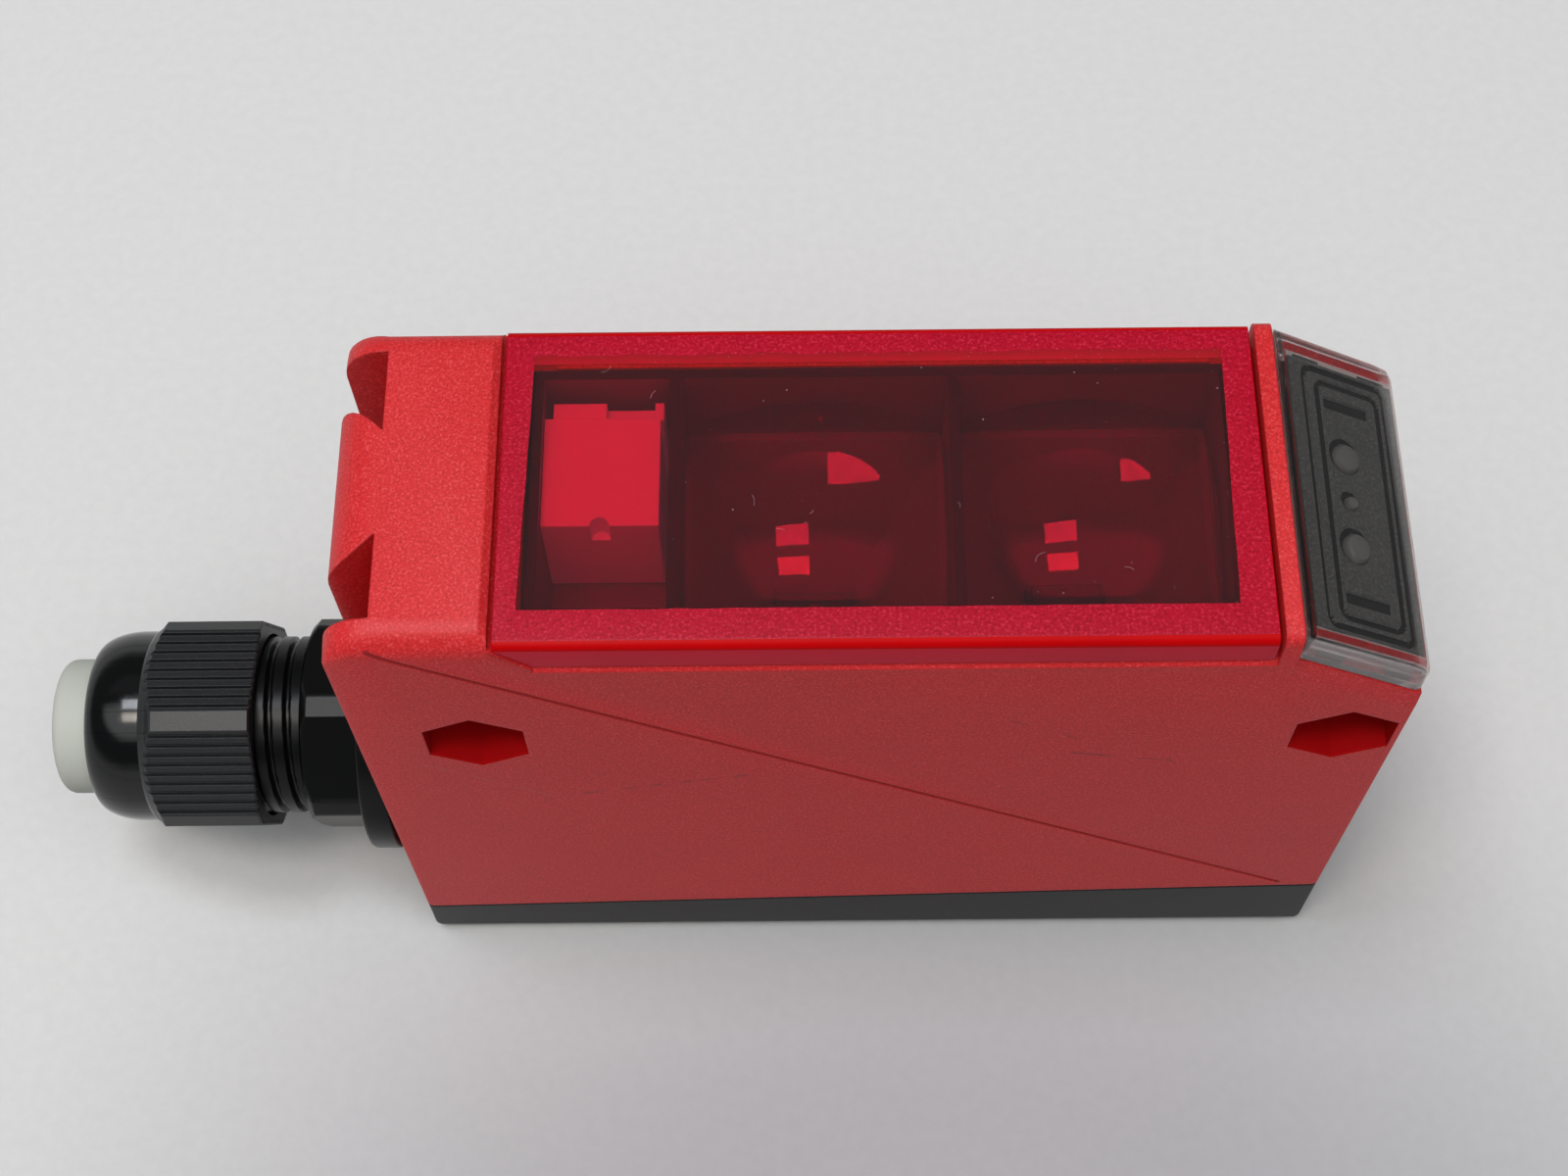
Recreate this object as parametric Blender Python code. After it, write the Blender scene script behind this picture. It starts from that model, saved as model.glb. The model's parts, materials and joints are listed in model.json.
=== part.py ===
"""Reflective optical sensor in a moulded housing, with a cable gland at its end.

The sensor stands on its back cover. The origin is the centre of the back cover's
underside, +Z points out through the optics, and the cable gland points along -X.
"""

import bmesh
import bpy
from math import atan2, ceil, cos, pi, radians, sin, sqrt, tan
from mathutils import Matrix, Vector

MM = 0.001

# Housing
HOUSING_LENGTH = 90.0 * MM
HOUSING_WIDTH = 30.0 * MM
HOUSING_HEIGHT = 70.0 * MM
SIDE_WALL = 2.2 * MM
END_WALL = 2.4 * MM
EDGE_RADIUS = 0.6 * MM
CAP_LENGTH = 13.6 * MM
CAP_END_RADIUS = 4.0 * MM
CAP_EDGE_RADIUS = 2.5 * MM
RIB_THICKNESS = 1.5 * MM
RIB_DROP = 0.4 * MM
SEAT_WALL = 2.5 * MM

# Clearances
GAP = 0.3 * MM
SEAM = 0.4 * MM
OVERSHOOT = 1.0 * MM

# Attachment slots and the flared bar between them
SLOT_DEPTH = 4.2 * MM
SLOT_WALL = 2.6 * MM
SLOT_CLEARANCE = 5.5 * MM
SLOT_BACK_WALL = 1.6 * MM
BAR_WIDTH = 9.6 * MM
BAR_FLARE = 2.6 * MM

# Mounting holes with nut pockets
HOLE_LEFT_INSET = 10.45 * MM
HOLE_RIGHT_INSET = 5.15 * MM
HOLE_DROP = 19.6 * MM
HOLE_DIAMETER = 5.3 * MM
POCKET_FLATS = 8.6 * MM
POCKET_DEPTH = 4.2 * MM
POCKET_WALL = 0.8 * MM

# Joint line between housing and back cover, and the line across the sides
JOINT_LEFT = 7.5 * MM
JOINT_RIGHT = 11.8 * MM
LINE_WIDTH = 0.5 * MM
LINE_DEPTH = 0.3 * MM
LINE_START_DROP = 1.5 * MM
LINE_START_INSET = 4.0 * MM
LINE_END_INSET = 4.2 * MM

# Optics cover
COVER_DROP = 0.8 * MM
COVER_DEPTH = 3.5 * MM
COVER_TOP_WALL = 1.8 * MM
COVER_SIDE_WALL = 1.3 * MM
COVER_SIDE_INSET = 0.15 * MM
COVER_BEVEL = 0.9 * MM
COVER_CORNER = 0.4 * MM
SEAT_SLOPE_LENGTH = 3.2 * MM
LEDGE_CHAMFER = 0.5 * MM

# Optics
CARRIER_OFFSET = 2.6 * MM
CARRIER_WALL = 0.9 * MM
CARRIER_CLEARANCE = 1.2 * MM
CARRIER_END = 2.1 * MM
CARRIER_FLOOR = 1.6 * MM
GUIDE_BAY = 10.6 * MM
GUIDE_DEPTH = 12.0 * MM
EMITTER_EXTRA = 0.5 * MM
LENS_DEPTH = 10.0 * MM
LENS_RIM = 1.2 * MM
LENS_SAG = 8.2 * MM
LENS_STEP = 0.7 * MM
DIODE_WINDOW = 7.0 * MM
DIODE_RADIUS = 1.5 * MM
DIODE_BODY = 1.4 * MM
GUIDE_LENGTH = 10.8 * MM
GUIDE_STRIP = 1.8 * MM

# Indicator corner
INDICATOR_LENGTH = 11.7 * MM
INDICATOR_ANGLE = radians(31.5)
INDICATOR_DEPTH = 4.0 * MM
INDICATOR_WALL = 1.6 * MM
INDICATOR_INSET = 0.5 * MM
INDICATOR_RADIUS = 0.8 * MM
INDICATOR_CHAMFER = 2.6 * MM
PANEL_THICKNESS = 1.0 * MM
PANEL_GROOVE = 0.6 * MM
PANEL_GROOVE_DEPTH = 0.4 * MM
PANEL_BAR = 1.5 * MM
LAMP_RADIUS = 1.4 * MM
LAMP_SMALL_RADIUS = 0.7 * MM
LAMP_PITCH = 3.9 * MM
LAMP_BOARD = 0.8 * MM

# Boards and electronics
BOARD = 1.6 * MM
BOARD_CLEARANCE = 0.6 * MM
BOARD_SPACE = 16.0 * MM
BASE_BOARD_INSET = 17.0 * MM
RELAY_INSET = 1.5 * MM
CHIP_INSET = 1.0 * MM
CAPACITOR_GAP = 0.8 * MM
RELAY = (20.0 * MM, 10.0 * MM, 11.0 * MM)
CHIP = (9.0 * MM, 6.0 * MM, 1.7 * MM)
CAPACITOR_RADIUS = 4.0 * MM
CAPACITOR_HEIGHT = 11.0 * MM
HEADER_LENGTH = 14.0 * MM
HEADER_WIDTH = 2.5 * MM
TERMINAL_WAYS = 5
TERMINAL_PITCH = 5.0 * MM
TERMINAL_LENGTH = 12.0 * MM
TERMINAL_HEIGHT = 10.5 * MM
WIRING_SPACE = 9.3 * MM
WIRE_HOLE = 2.4 * MM
TERMINAL_SCREW_RADIUS = 1.6 * MM

# Back cover
COVER_FLOOR = 2.4 * MM
BACK_RADIUS = 2.15 * MM
GASKET_WIDTH = 1.1 * MM
GASKET_HEIGHT = 1.0 * MM
SCREW_END_INSET = 11.0 * MM
SCREW_SIDE_INSET = 4.8 * MM
SCREW_HEAD_RADIUS = 2.8 * MM
SCREW_HEAD_HEIGHT = 2.2 * MM
SCREW_SHANK_RADIUS = 1.45 * MM
SCREW_LENGTH = 15.0 * MM
SCREW_SLOT = 0.8 * MM
BOSS_RADIUS = 3.3 * MM
BOSS_HEIGHT = 22.0 * MM

# Cable gland
GLAND_HEIGHT = 20.0 * MM
GLAND_FLATS = 20.8 * MM
GLAND_CORNER_STRIP = 2.4 * MM
GLAND_THREAD_RADIUS = 8.0 * MM
GLAND_BORE_RADIUS = 5.0 * MM
GLAND_SEAL_THICKNESS = 0.7 * MM
COLLAR_RADIUS = 12.5 * MM
COLLAR_THICKNESS = 2.9 * MM
COLLAR_BEVEL = 0.4 * MM
HEX_LENGTH = 7.4 * MM
HEX_CHAMFER = 2.0 * MM
HEX_END_STEP = 0.15 * MM
HEX_TURN = radians(-14.0)
NECK_RADIUS = 8.8 * MM
NECK_LENGTH = 9.0 * MM
THREAD_PITCH = 1.5 * MM
THREAD_DEPTH = 0.8 * MM
THREAD_TURNS = 4
LOCK_NUT_FLATS = 19.0 * MM
LOCK_NUT_THICKNESS = 3.0 * MM
SPIGOT_LENGTH = 7.4 * MM
NUT_START = 14.0 * MM
NUT_COLLAR = 2.2 * MM
NUT_RIBBED = 12.0 * MM
NUT_DOME = 6.4 * MM
NUT_DOME_RADIUS = 9.6 * MM
NUT_MOUTH_RADIUS = 7.0 * MM
NUT_TURN = radians(-21.3)
RIB_PITCH = 1.05 * MM
RIB_DEPTH = 0.35 * MM
INSERT_RADIUS = 6.7 * MM
INSERT_BORE = 3.5 * MM
INSERT_OUT = 36.4 * MM
CAGE_WALL = 0.9 * MM
CAGE_SLOTS = 8
CAGE_SLOT = 0.9 * MM

# Places that follow from the sizes
LEFT = -HOUSING_LENGTH / 2
RIGHT = HOUSING_LENGTH / 2
SIDE = HOUSING_WIDTH / 2
INNER_SIDE = SIDE - SIDE_WALL
CAP_RIGHT = LEFT + CAP_LENGTH
COVER_TOP = HOUSING_HEIGHT - COVER_DROP
COVER_BOTTOM = COVER_TOP - COVER_DEPTH
SEAT = COVER_BOTTOM - GAP
INDICATOR_LEFT = RIGHT - INDICATOR_LENGTH
RIB_LEFT = INDICATOR_LEFT - RIB_THICKNESS
SEAT_LEFT = CAP_RIGHT + SEAT_SLOPE_LENGTH
BOARD_WIDTH = 2 * (INNER_SIDE - BOARD_CLEARANCE)
BASE_BOARD_LENGTH = HOUSING_LENGTH - 2 * BASE_BOARD_INSET
BASE_BOARD_BOTTOM = COVER_FLOOR + WIRING_SPACE + TERMINAL_HEIGHT + GAP
BASE_BOARD_TOP = BASE_BOARD_BOTTOM + BOARD
MAIN_BOARD_BOTTOM = BASE_BOARD_TOP + BOARD_SPACE
MAIN_BOARD_TOP = MAIN_BOARD_BOTTOM + BOARD
CARRIER_LEFT = CAP_RIGHT + CARRIER_OFFSET
CARRIER_RIGHT = RIB_LEFT - CARRIER_END
CARRIER_LENGTH = CARRIER_RIGHT - CARRIER_LEFT
CARRIER_WIDTH = 2 * (INNER_SIDE - CARRIER_CLEARANCE)
CARRIER_TOP = COVER_TOP - COVER_TOP_WALL - GAP
CARRIER_BOTTOM = MAIN_BOARD_TOP + GAP
RECEIVER_BAY = (CARRIER_LENGTH - 4 * CARRIER_WALL - GUIDE_BAY - EMITTER_EXTRA) / 2
EMITTER_BAY = RECEIVER_BAY + EMITTER_EXTRA
HOLE_LEFT = LEFT + HOLE_LEFT_INSET
HOLE_RIGHT = RIGHT - HOLE_RIGHT_INSET
HOLE_HEIGHT = HOUSING_HEIGHT - HOLE_DROP
POCKET_CORNER = POCKET_FLATS / sqrt(3)
TUBE_RADIUS = POCKET_CORNER + POCKET_WALL
SLOT_FLOOR = GLAND_HEIGHT + COLLAR_RADIUS + SLOT_CLEARANCE
SLOT_RIGHT = LEFT + SLOT_DEPTH
COLLAR_START = GAP + GLAND_SEAL_THICKNESS + GAP
HEX_START = COLLAR_START + COLLAR_THICKNESS
NECK_START = HEX_START + HEX_LENGTH
NECK_END = NECK_START + NECK_LENGTH
NUT_RIB_START = NUT_START + NUT_COLLAR
NUT_RIB_END = NUT_RIB_START + NUT_RIBBED
NUT_END = NUT_RIB_END - 1.7 * MM + NUT_DOME


def finish(name, colour, roughness, metallic=0.0, transmission=0.0):
    """A Principled material from an sRGB hex colour."""
    material = bpy.data.materials.new(name)
    material.use_nodes = True
    shader = material.node_tree.nodes["Principled BSDF"]
    channels = [int(colour[i:i + 2], 16) / 255 for i in (1, 3, 5)]
    linear = [c / 12.92 if c <= 0.04045 else ((c + 0.055) / 1.055) ** 2.4 for c in channels]
    shader.inputs["Base Color"].default_value = (*linear, 1.0)
    shader.inputs["Roughness"].default_value = roughness
    shader.inputs["Metallic"].default_value = metallic
    shader.inputs["Transmission Weight"].default_value = transmission
    material.diffuse_color = (*linear, 1.0)
    return material


def place(name, mesh, material=None, parent=None, location=(0, 0, 0), rotation=(0, 0, 0)):
    """Put a mesh in the scene as a named object."""
    piece = bpy.data.objects.new(name, mesh)
    bpy.context.scene.collection.objects.link(piece)
    piece.location = location
    piece.rotation_euler = rotation
    piece.parent = parent
    if material is not None:
        mesh.materials.append(material)
    return piece


def shaded(piece, angle=35):
    """Smooth the round surfaces and keep the corners sharp."""
    piece.data.shade_smooth()
    piece.data.set_sharp_from_angle(angle=radians(angle))
    return piece


def mesh_from(bm, name):
    """Turn a bmesh into a mesh whose faces point out."""
    bmesh.ops.remove_doubles(bm, verts=bm.verts, dist=1e-7)
    bmesh.ops.recalc_face_normals(bm, faces=bm.faces)
    mesh = bpy.data.meshes.new(name)
    bm.to_mesh(mesh)
    bm.free()
    return mesh


def loft(name, rings):
    """Closed solid through rings of equally many points, flat at both ends."""
    bm = bmesh.new()
    rows = [[bm.verts.new(point) for point in ring] for ring in rings]
    count = len(rows[0])
    for lower, upper in zip(rows, rows[1:]):
        for i in range(count):
            j = (i + 1) % count
            bm.faces.new((lower[i], lower[j], upper[j], upper[i]))
    bm.faces.new(rows[0])
    bm.faces.new(rows[-1])
    return mesh_from(bm, name)


def prism_y(name, outline, y_low, y_high):
    """Extrude an outline of (x, z) points along Y."""
    return loft(name, [[(x, y, z) for x, z in outline] for y in (y_low, y_high)])


def prism_z(name, outline, z_low, z_high):
    """Extrude an outline of (x, y) points along Z."""
    return loft(name, [[(x, y, z) for x, y in outline] for z in (z_low, z_high)])


def block(name, x_low, x_high, y_low, y_high, z_low, z_high):
    """A box between two values on each axis."""
    bm = bmesh.new()
    bmesh.ops.create_cube(bm, size=1.0)
    size = Vector((x_high - x_low, y_high - y_low, z_high - z_low))
    middle = Vector((x_high + x_low, y_high + y_low, z_high + z_low)) / 2
    bmesh.ops.transform(bm, verts=bm.verts, matrix=Matrix.Translation(middle) @ Matrix.Diagonal((*size, 1.0)))
    return mesh_from(bm, name)


def cylinder(name, radius, low, high, centre=(0.0, 0.0), axis="Z", segments=32):
    """A cylinder between two values along Z or Y; centre is (x, y) or (x, z)."""
    bm = bmesh.new()
    bmesh.ops.create_cone(
        bm, cap_ends=True, segments=segments, radius1=radius, radius2=radius, depth=high - low,
    )
    middle = (low + high) / 2
    if axis == "Z":
        matrix = Matrix.Translation((centre[0], centre[1], middle))
    else:
        matrix = Matrix.Translation((centre[0], middle, centre[1])) @ Matrix.Rotation(pi / 2, 4, "X")
    bmesh.ops.transform(bm, verts=bm.verts, matrix=matrix)
    return mesh_from(bm, name)


def turned(name, profile, segments=40):
    """Revolve a closed profile of (radius, height) points about Z."""
    bm = bmesh.new()
    points = [bm.verts.new((radius, 0.0, height)) for radius, height in profile]
    edges = [bm.edges.new((points[i], points[(i + 1) % len(points)])) for i in range(len(points))]
    if profile[0][0] == 0 and profile[-1][0] == 0:
        bm.edges.remove(edges.pop())
    bmesh.ops.spin(
        bm, geom=points + edges, cent=(0, 0, 0), axis=(0, 0, 1), angle=2 * pi, steps=segments,
        use_merge=True,
    )
    return mesh_from(bm, name)


def arc(centre, radius, start, end, steps):
    """Points on an arc, in quarter turns from the first axis towards the second."""
    angles = [pi / 2 * (start + (end - start) * i / steps) for i in range(steps + 1)]
    return [(centre[0] + radius * cos(a), centre[1] + radius * sin(a)) for a in angles]


def rounded_rectangle(length, width, radius, steps=4, centre=(0.0, 0.0)):
    """Outline of a rectangle with round corners, counter-clockwise."""
    outline = []
    corners = ((1, 1, 0), (-1, 1, 1), (-1, -1, 2), (1, -1, 3))
    for sx, sy, start in corners:
        corner = (centre[0] + sx * (length / 2 - radius), centre[1] + sy * (width / 2 - radius))
        outline += arc(corner, radius, start, start + 1, steps)
    return outline


def frame_z(name, outer, inner, z_low, z_high):
    """A closed frame between two outlines of equally many (x, y) points."""
    bm = bmesh.new()
    loops = [
        [bm.verts.new((x, y, z)) for x, y in outline]
        for outline, z in ((outer, z_low), (outer, z_high), (inner, z_high), (inner, z_low))
    ]
    count = len(outer)
    for k in range(4):
        first, second = loops[k], loops[(k + 1) % 4]
        for i in range(count):
            j = (i + 1) % count
            bm.faces.new((first[i], first[j], second[j], second[i]))
    return mesh_from(bm, name)


def tool(name, mesh, parent=None, location=(0, 0, 0), rotation=(0, 0, 0)):
    """An object that only shapes another one."""
    shape = place(name, mesh, None, parent, location, rotation)
    shape.hide_render = True
    shape.display_type = "WIRE"
    return shape


def combine(piece, shape, operation):
    """Cut, join or keep the common part with an exact Boolean."""
    modifier = piece.modifiers.new(shape.name, "BOOLEAN")
    modifier.operation = operation
    modifier.solver = "EXACT"
    modifier.object = shape


def cut(piece, *shapes):
    """Take the shapes away from the piece."""
    for shape in shapes:
        combine(piece, shape, "DIFFERENCE")


def join(piece, *shapes):
    """Fuse the shapes to the piece."""
    for shape in shapes:
        combine(piece, shape, "UNION")


def joint_line(x):
    """Height of the joint between housing and back cover at x."""
    return JOINT_LEFT + (JOINT_RIGHT - JOINT_LEFT) * (x - LEFT) / HOUSING_LENGTH


def slope(x, drop=0.0):
    """Height of a plane parallel to the indicator window's top, drop below it."""
    top_left = COVER_BOTTOM - GAP + INDICATOR_DEPTH
    return top_left - tan(INDICATOR_ANGLE) * (x - INDICATOR_LEFT) - drop


def sloped_block(name, x_low, x_high, y_low, y_high, low, high):
    """A block whose underside and top follow heights that depend on x."""
    rings = []
    for x in (x_low, x_high):
        rings.append([(x, y_low, low(x)), (x, y_high, low(x)), (x, y_high, high(x)), (x, y_low, high(x))])
    return loft(name, rings)


def round_inset(distance, radius):
    """How far a rounded edge lies back at a distance from the side face."""
    if distance >= radius:
        return 0.0
    return radius - sqrt(radius * radius - (radius - distance) ** 2)


def hexagon(flats, strip, turn, ribbed=False):
    """Hexagon with flat strips at its corners; its faces may carry fine ribs."""
    outline = []
    face = (flats - 2 * strip) / sqrt(3)
    ribs = int(face / RIB_PITCH)
    for k in range(6):
        normal = turn + radians(30 + 60 * k)
        along = Vector((-sin(normal), cos(normal)))
        out = Vector((cos(normal), sin(normal)))
        steps = [(-face / 2, 0.0), (face / 2, 0.0)]
        if ribbed:
            edge = (face - ribs * RIB_PITCH) / 2
            steps = [(-face / 2, 0.0)]
            for i in range(ribs):
                start = -face / 2 + edge + i * RIB_PITCH
                steps.append((start + 0.25 * RIB_PITCH, RIB_DEPTH))
                steps.append((start + 0.75 * RIB_PITCH, 0.0))
            steps.append((face / 2, RIB_DEPTH / 2))
        for offset, dip in steps:
            point = out * (flats / 2 - dip) + along * offset
            outline.append((point.x, point.y))
    return outline


def housing_profile(distance):
    """The housing's outline in side view, at a distance in from its side face."""
    edge = round_inset(distance, EDGE_RADIUS)
    cap = round_inset(distance, CAP_EDGE_RADIUS)
    rib = round_inset(distance, 2 * EDGE_RADIUS)
    centre = (LEFT + CAP_END_RADIUS, HOUSING_HEIGHT - CAP_END_RADIUS)
    points = [(LEFT + edge, joint_line(LEFT) + GAP / 2)]
    steps = 7
    for i in range(steps + 1):
        share = i / steps
        radius = CAP_END_RADIUS - edge - (cap - edge) * share
        angle = pi - share * pi / 2
        points.append((centre[0] + radius * cos(angle), centre[1] + radius * sin(angle)))
    points.append((CAP_RIGHT - EDGE_RADIUS, HOUSING_HEIGHT - cap))
    points.append((CAP_RIGHT, HOUSING_HEIGHT - max(cap, EDGE_RADIUS)))
    points.append((CAP_RIGHT, SEAT + SEAT_SLOPE_LENGTH))
    points.append((SEAT_LEFT, SEAT))
    points.append((RIB_LEFT, SEAT))
    points.append((RIB_LEFT, HOUSING_HEIGHT - RIB_DROP - rib))
    points.append((INDICATOR_LEFT, HOUSING_HEIGHT - RIB_DROP - rib))
    points.append((INDICATOR_LEFT, slope(INDICATOR_LEFT, INDICATOR_DEPTH + GAP)))
    points.append((RIGHT - edge, slope(RIGHT, INDICATOR_DEPTH + GAP)))
    points.append((RIGHT - edge, joint_line(RIGHT) + GAP / 2))
    return points


def edge_cutter(name, start, end, depth, height, side):
    """Chamfer along a line on a side face; start and end are (x, z)."""
    rings = []
    for x, z in (start, end):
        ring = [(-1.0, -1.0 * height / depth), (2.0, 2.0 * height / depth), (-1.0, 2.0 * height / depth)]
        rings.append([(x, side * (SIDE - depth * u), z + depth * v) for u, v in ring])
    return loft(name, rings)


def slot_outline(side):
    """Plan of one attachment slot: straight outside, flared along the bar."""
    outline = [
        (LEFT - OVERSHOOT, side * (SIDE - SLOT_WALL)),
        (SLOT_RIGHT, side * (SIDE - SLOT_WALL)),
    ]
    steps = 6
    for i in range(steps + 1):
        share = i / steps
        half = BAR_WIDTH / 2 + BAR_FLARE * sin(share * pi / 2)
        outline.append((SLOT_RIGHT - SLOT_DEPTH * share, side * half))
    outline.append((LEFT - OVERSHOOT, side * (BAR_WIDTH / 2 + BAR_FLARE)))
    return outline


def build_housing():
    """Moulded shell, open at the back, with the seats for all that it carries."""
    distances = [0.0, 0.3 * EDGE_RADIUS, EDGE_RADIUS]
    rest = CAP_EDGE_RADIUS - EDGE_RADIUS
    distances += [EDGE_RADIUS + rest * share for share in (0.3, 0.6, 1.0)]
    near = [(d, -SIDE + d) for d in distances]
    far = [(d, SIDE - d) for d in reversed(distances)]
    rings = [[(x, y, z) for x, z in housing_profile(d)] for d, y in near + far]
    housing = place("housing", loft("housing", rings), finish("red_moulded_housing", "#b02a30", 0.5))

    inside = [
        (LEFT + END_WALL, -OVERSHOOT),
        (LEFT + END_WALL, SLOT_FLOOR - SLOT_BACK_WALL),
        (SLOT_RIGHT + SLOT_BACK_WALL, SLOT_FLOOR - SLOT_BACK_WALL),
        (SLOT_RIGHT + SLOT_BACK_WALL, HOUSING_HEIGHT - CAP_END_RADIUS + 0.5 * MM),
        (CAP_RIGHT - SEAT_WALL, HOUSING_HEIGHT - CAP_END_RADIUS + 0.5 * MM),
        (CAP_RIGHT + 0.4 * MM, SEAT - SEAT_WALL),
        (INDICATOR_LEFT, SEAT - SEAT_WALL),
        (RIGHT - END_WALL, slope(RIGHT - END_WALL, INDICATOR_DEPTH + GAP + SEAT_WALL)),
        (RIGHT - END_WALL, -OVERSHOOT),
    ]
    cut(housing, tool("housing_inside", prism_y("inside", inside, -INNER_SIDE, INNER_SIDE)))

    tube_reach = SIDE - SIDE_WALL / 2
    for label, x in (("left", HOLE_LEFT), ("right", HOLE_RIGHT)):
        limit = RIGHT - END_WALL / 2
        outline = [(min(u, limit), v) for u, v in arc((x, HOLE_HEIGHT), TUBE_RADIUS, 0, 3.9, 39)]
        join(housing, tool("tube_" + label, prism_y("tube", outline, -tube_reach, tube_reach)))

    for label, sx in (("left", -1), ("right", 1)):
        for way, sy in (("near", -1), ("far", 1)):
            x = sx * (RIGHT - SCREW_END_INSET)
            y = sy * (SIDE - SCREW_SIDE_INSET)
            low = joint_line(x + BOSS_RADIUS) + GAP / 2
            boss = cylinder("boss", BOSS_RADIUS, low, BOSS_HEIGHT, (x, y))
            join(housing, tool("boss_" + label + "_" + way, boss))

    for way, sy in (("near", -1), ("far", 1)):
        y_low, y_high = sorted((sy * (INNER_SIDE + 0.5 * MM), sy * (BOARD_WIDTH / 2 - 1.0 * MM)))
        shelf = block(
            "shelf", -BASE_BOARD_LENGTH / 3, BASE_BOARD_LENGTH / 3, y_low, y_high,
            BASE_BOARD_TOP + GAP, BASE_BOARD_TOP + GAP + 1.5 * MM,
        )
        join(housing, tool("board_shelf_" + way, shelf))
        y_low, y_high = sorted((sy * (CARRIER_WIDTH / 2 + GAP), sy * (CARRIER_WIDTH / 2 + GAP + 1.2 * MM)))
        rail = block(
            "rail", CARRIER_LEFT + 2.0 * MM, CARRIER_RIGHT - 1.5 * MM, y_low, y_high,
            SEAT - 0.5 * MM, SEAT + 1.6 * MM,
        )
        join(housing, tool("cover_rail_" + way, rail))

    opening = block(
        "opening", CARRIER_LEFT - GAP, CARRIER_RIGHT + GAP, -CARRIER_WIDTH / 2 - GAP, CARRIER_WIDTH / 2 + GAP,
        SEAT - 2 * SEAT_WALL, SEAT + OVERSHOOT,
    )
    cut(housing, tool("optics_opening", opening))
    lamp_opening = block(
        "opening", INDICATOR_LEFT + 1.7 * MM, RIGHT - 2.0 * MM, -SIDE + 5.1 * MM, SIDE - 5.1 * MM,
        HOLE_HEIGHT + TUBE_RADIUS + 0.6 * MM, HOUSING_HEIGHT,
    )
    cut(housing, tool("lamp_opening", lamp_opening))

    hexagon_points = arc((0, 0), POCKET_CORNER, 1, 13 / 3, 5)
    for label, x in (("left", HOLE_LEFT), ("right", HOLE_RIGHT)):
        hole = cylinder("hole", HOLE_DIAMETER / 2, -SIDE - OVERSHOOT, SIDE + OVERSHOOT, (x, HOLE_HEIGHT), "Y", 32)
        cut(housing, tool("screw_hole_" + label, hole))
        outline = [(x + u, HOLE_HEIGHT + v) for u, v in hexagon_points]
        for way, sy in (("near", -1), ("far", 1)):
            y_low, y_high = sorted((sy * (SIDE + OVERSHOOT), sy * (SIDE - POCKET_DEPTH)))
            pocket = prism_y("pocket", outline, y_low, y_high)
            cut(housing, tool("nut_pocket_" + label + "_" + way, pocket))

    for way, side in (("near", -1), ("far", 1)):
        slot = prism_z("slot", slot_outline(side), SLOT_FLOOR, HOUSING_HEIGHT + OVERSHOOT)
        cut(housing, tool("attachment_slot_" + way, slot))

    wall_hole = cylinder("hole", GLAND_THREAD_RADIUS + GAP, -OVERSHOOT, END_WALL + OVERSHOOT, segments=40)
    cut(housing, tool("gland_hole", wall_hole, None, (LEFT, 0, GLAND_HEIGHT), (0, pi / 2, 0)))

    for label, sx in (("left", -1), ("right", 1)):
        for way, sy in (("near", -1), ("far", 1)):
            x = sx * (RIGHT - SCREW_END_INSET)
            y = sy * (SIDE - SCREW_SIDE_INSET)
            top = min(BOSS_HEIGHT - 1.0 * MM, GAP + SCREW_HEAD_HEIGHT + SCREW_LENGTH + 1.0 * MM)
            hole = cylinder("hole", SCREW_SHANK_RADIUS + GAP, 0, top, (x, y), segments=20)
            cut(housing, tool("screw_bore_" + label + "_" + way, hole))

    line_start = (LEFT + LINE_START_INSET, HOUSING_HEIGHT - LINE_START_DROP)
    line_end = (RIGHT - LINE_END_INSET, joint_line(RIGHT - LINE_END_INSET) + 1.2 * MM)
    run = Vector((line_end[0] - line_start[0], line_end[1] - line_start[1]))
    across = Vector((-run.y, run.x)).normalized() * LINE_WIDTH / 2
    for way, side in (("near", -1), ("far", 1)):
        rings = []
        for end in (line_start, line_end):
            point = Vector(end)
            ring = []
            for share, depth in ((-2.0, -1.0), (0.0, 1.0), (2.0, -1.0)):
                spot = point + across * share
                ring.append((spot.x, side * (SIDE - LINE_DEPTH * depth), spot.y))
            rings.append(ring)
        cut(housing, tool("side_line_" + way, loft("line", rings)))
        ledge = edge_cutter(
            "ledge", (SEAT_LEFT, SEAT - LEDGE_CHAMFER), (RIB_LEFT, SEAT - LEDGE_CHAMFER),
            LEDGE_CHAMFER, LEDGE_CHAMFER, side,
        )
        cut(housing, tool("seat_chamfer_" + way, ledge))
        drop = INDICATOR_DEPTH + GAP + INDICATOR_CHAMFER
        far_x = RIGHT + OVERSHOOT
        ledge = edge_cutter(
            "ledge", (INDICATOR_LEFT, slope(INDICATOR_LEFT, drop)), (far_x, slope(far_x, drop)),
            INDICATOR_INSET, INDICATOR_CHAMFER, side,
        )
        cut(housing, tool("lamp_seat_chamfer_" + way, ledge))
    return shaded(housing)


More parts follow.
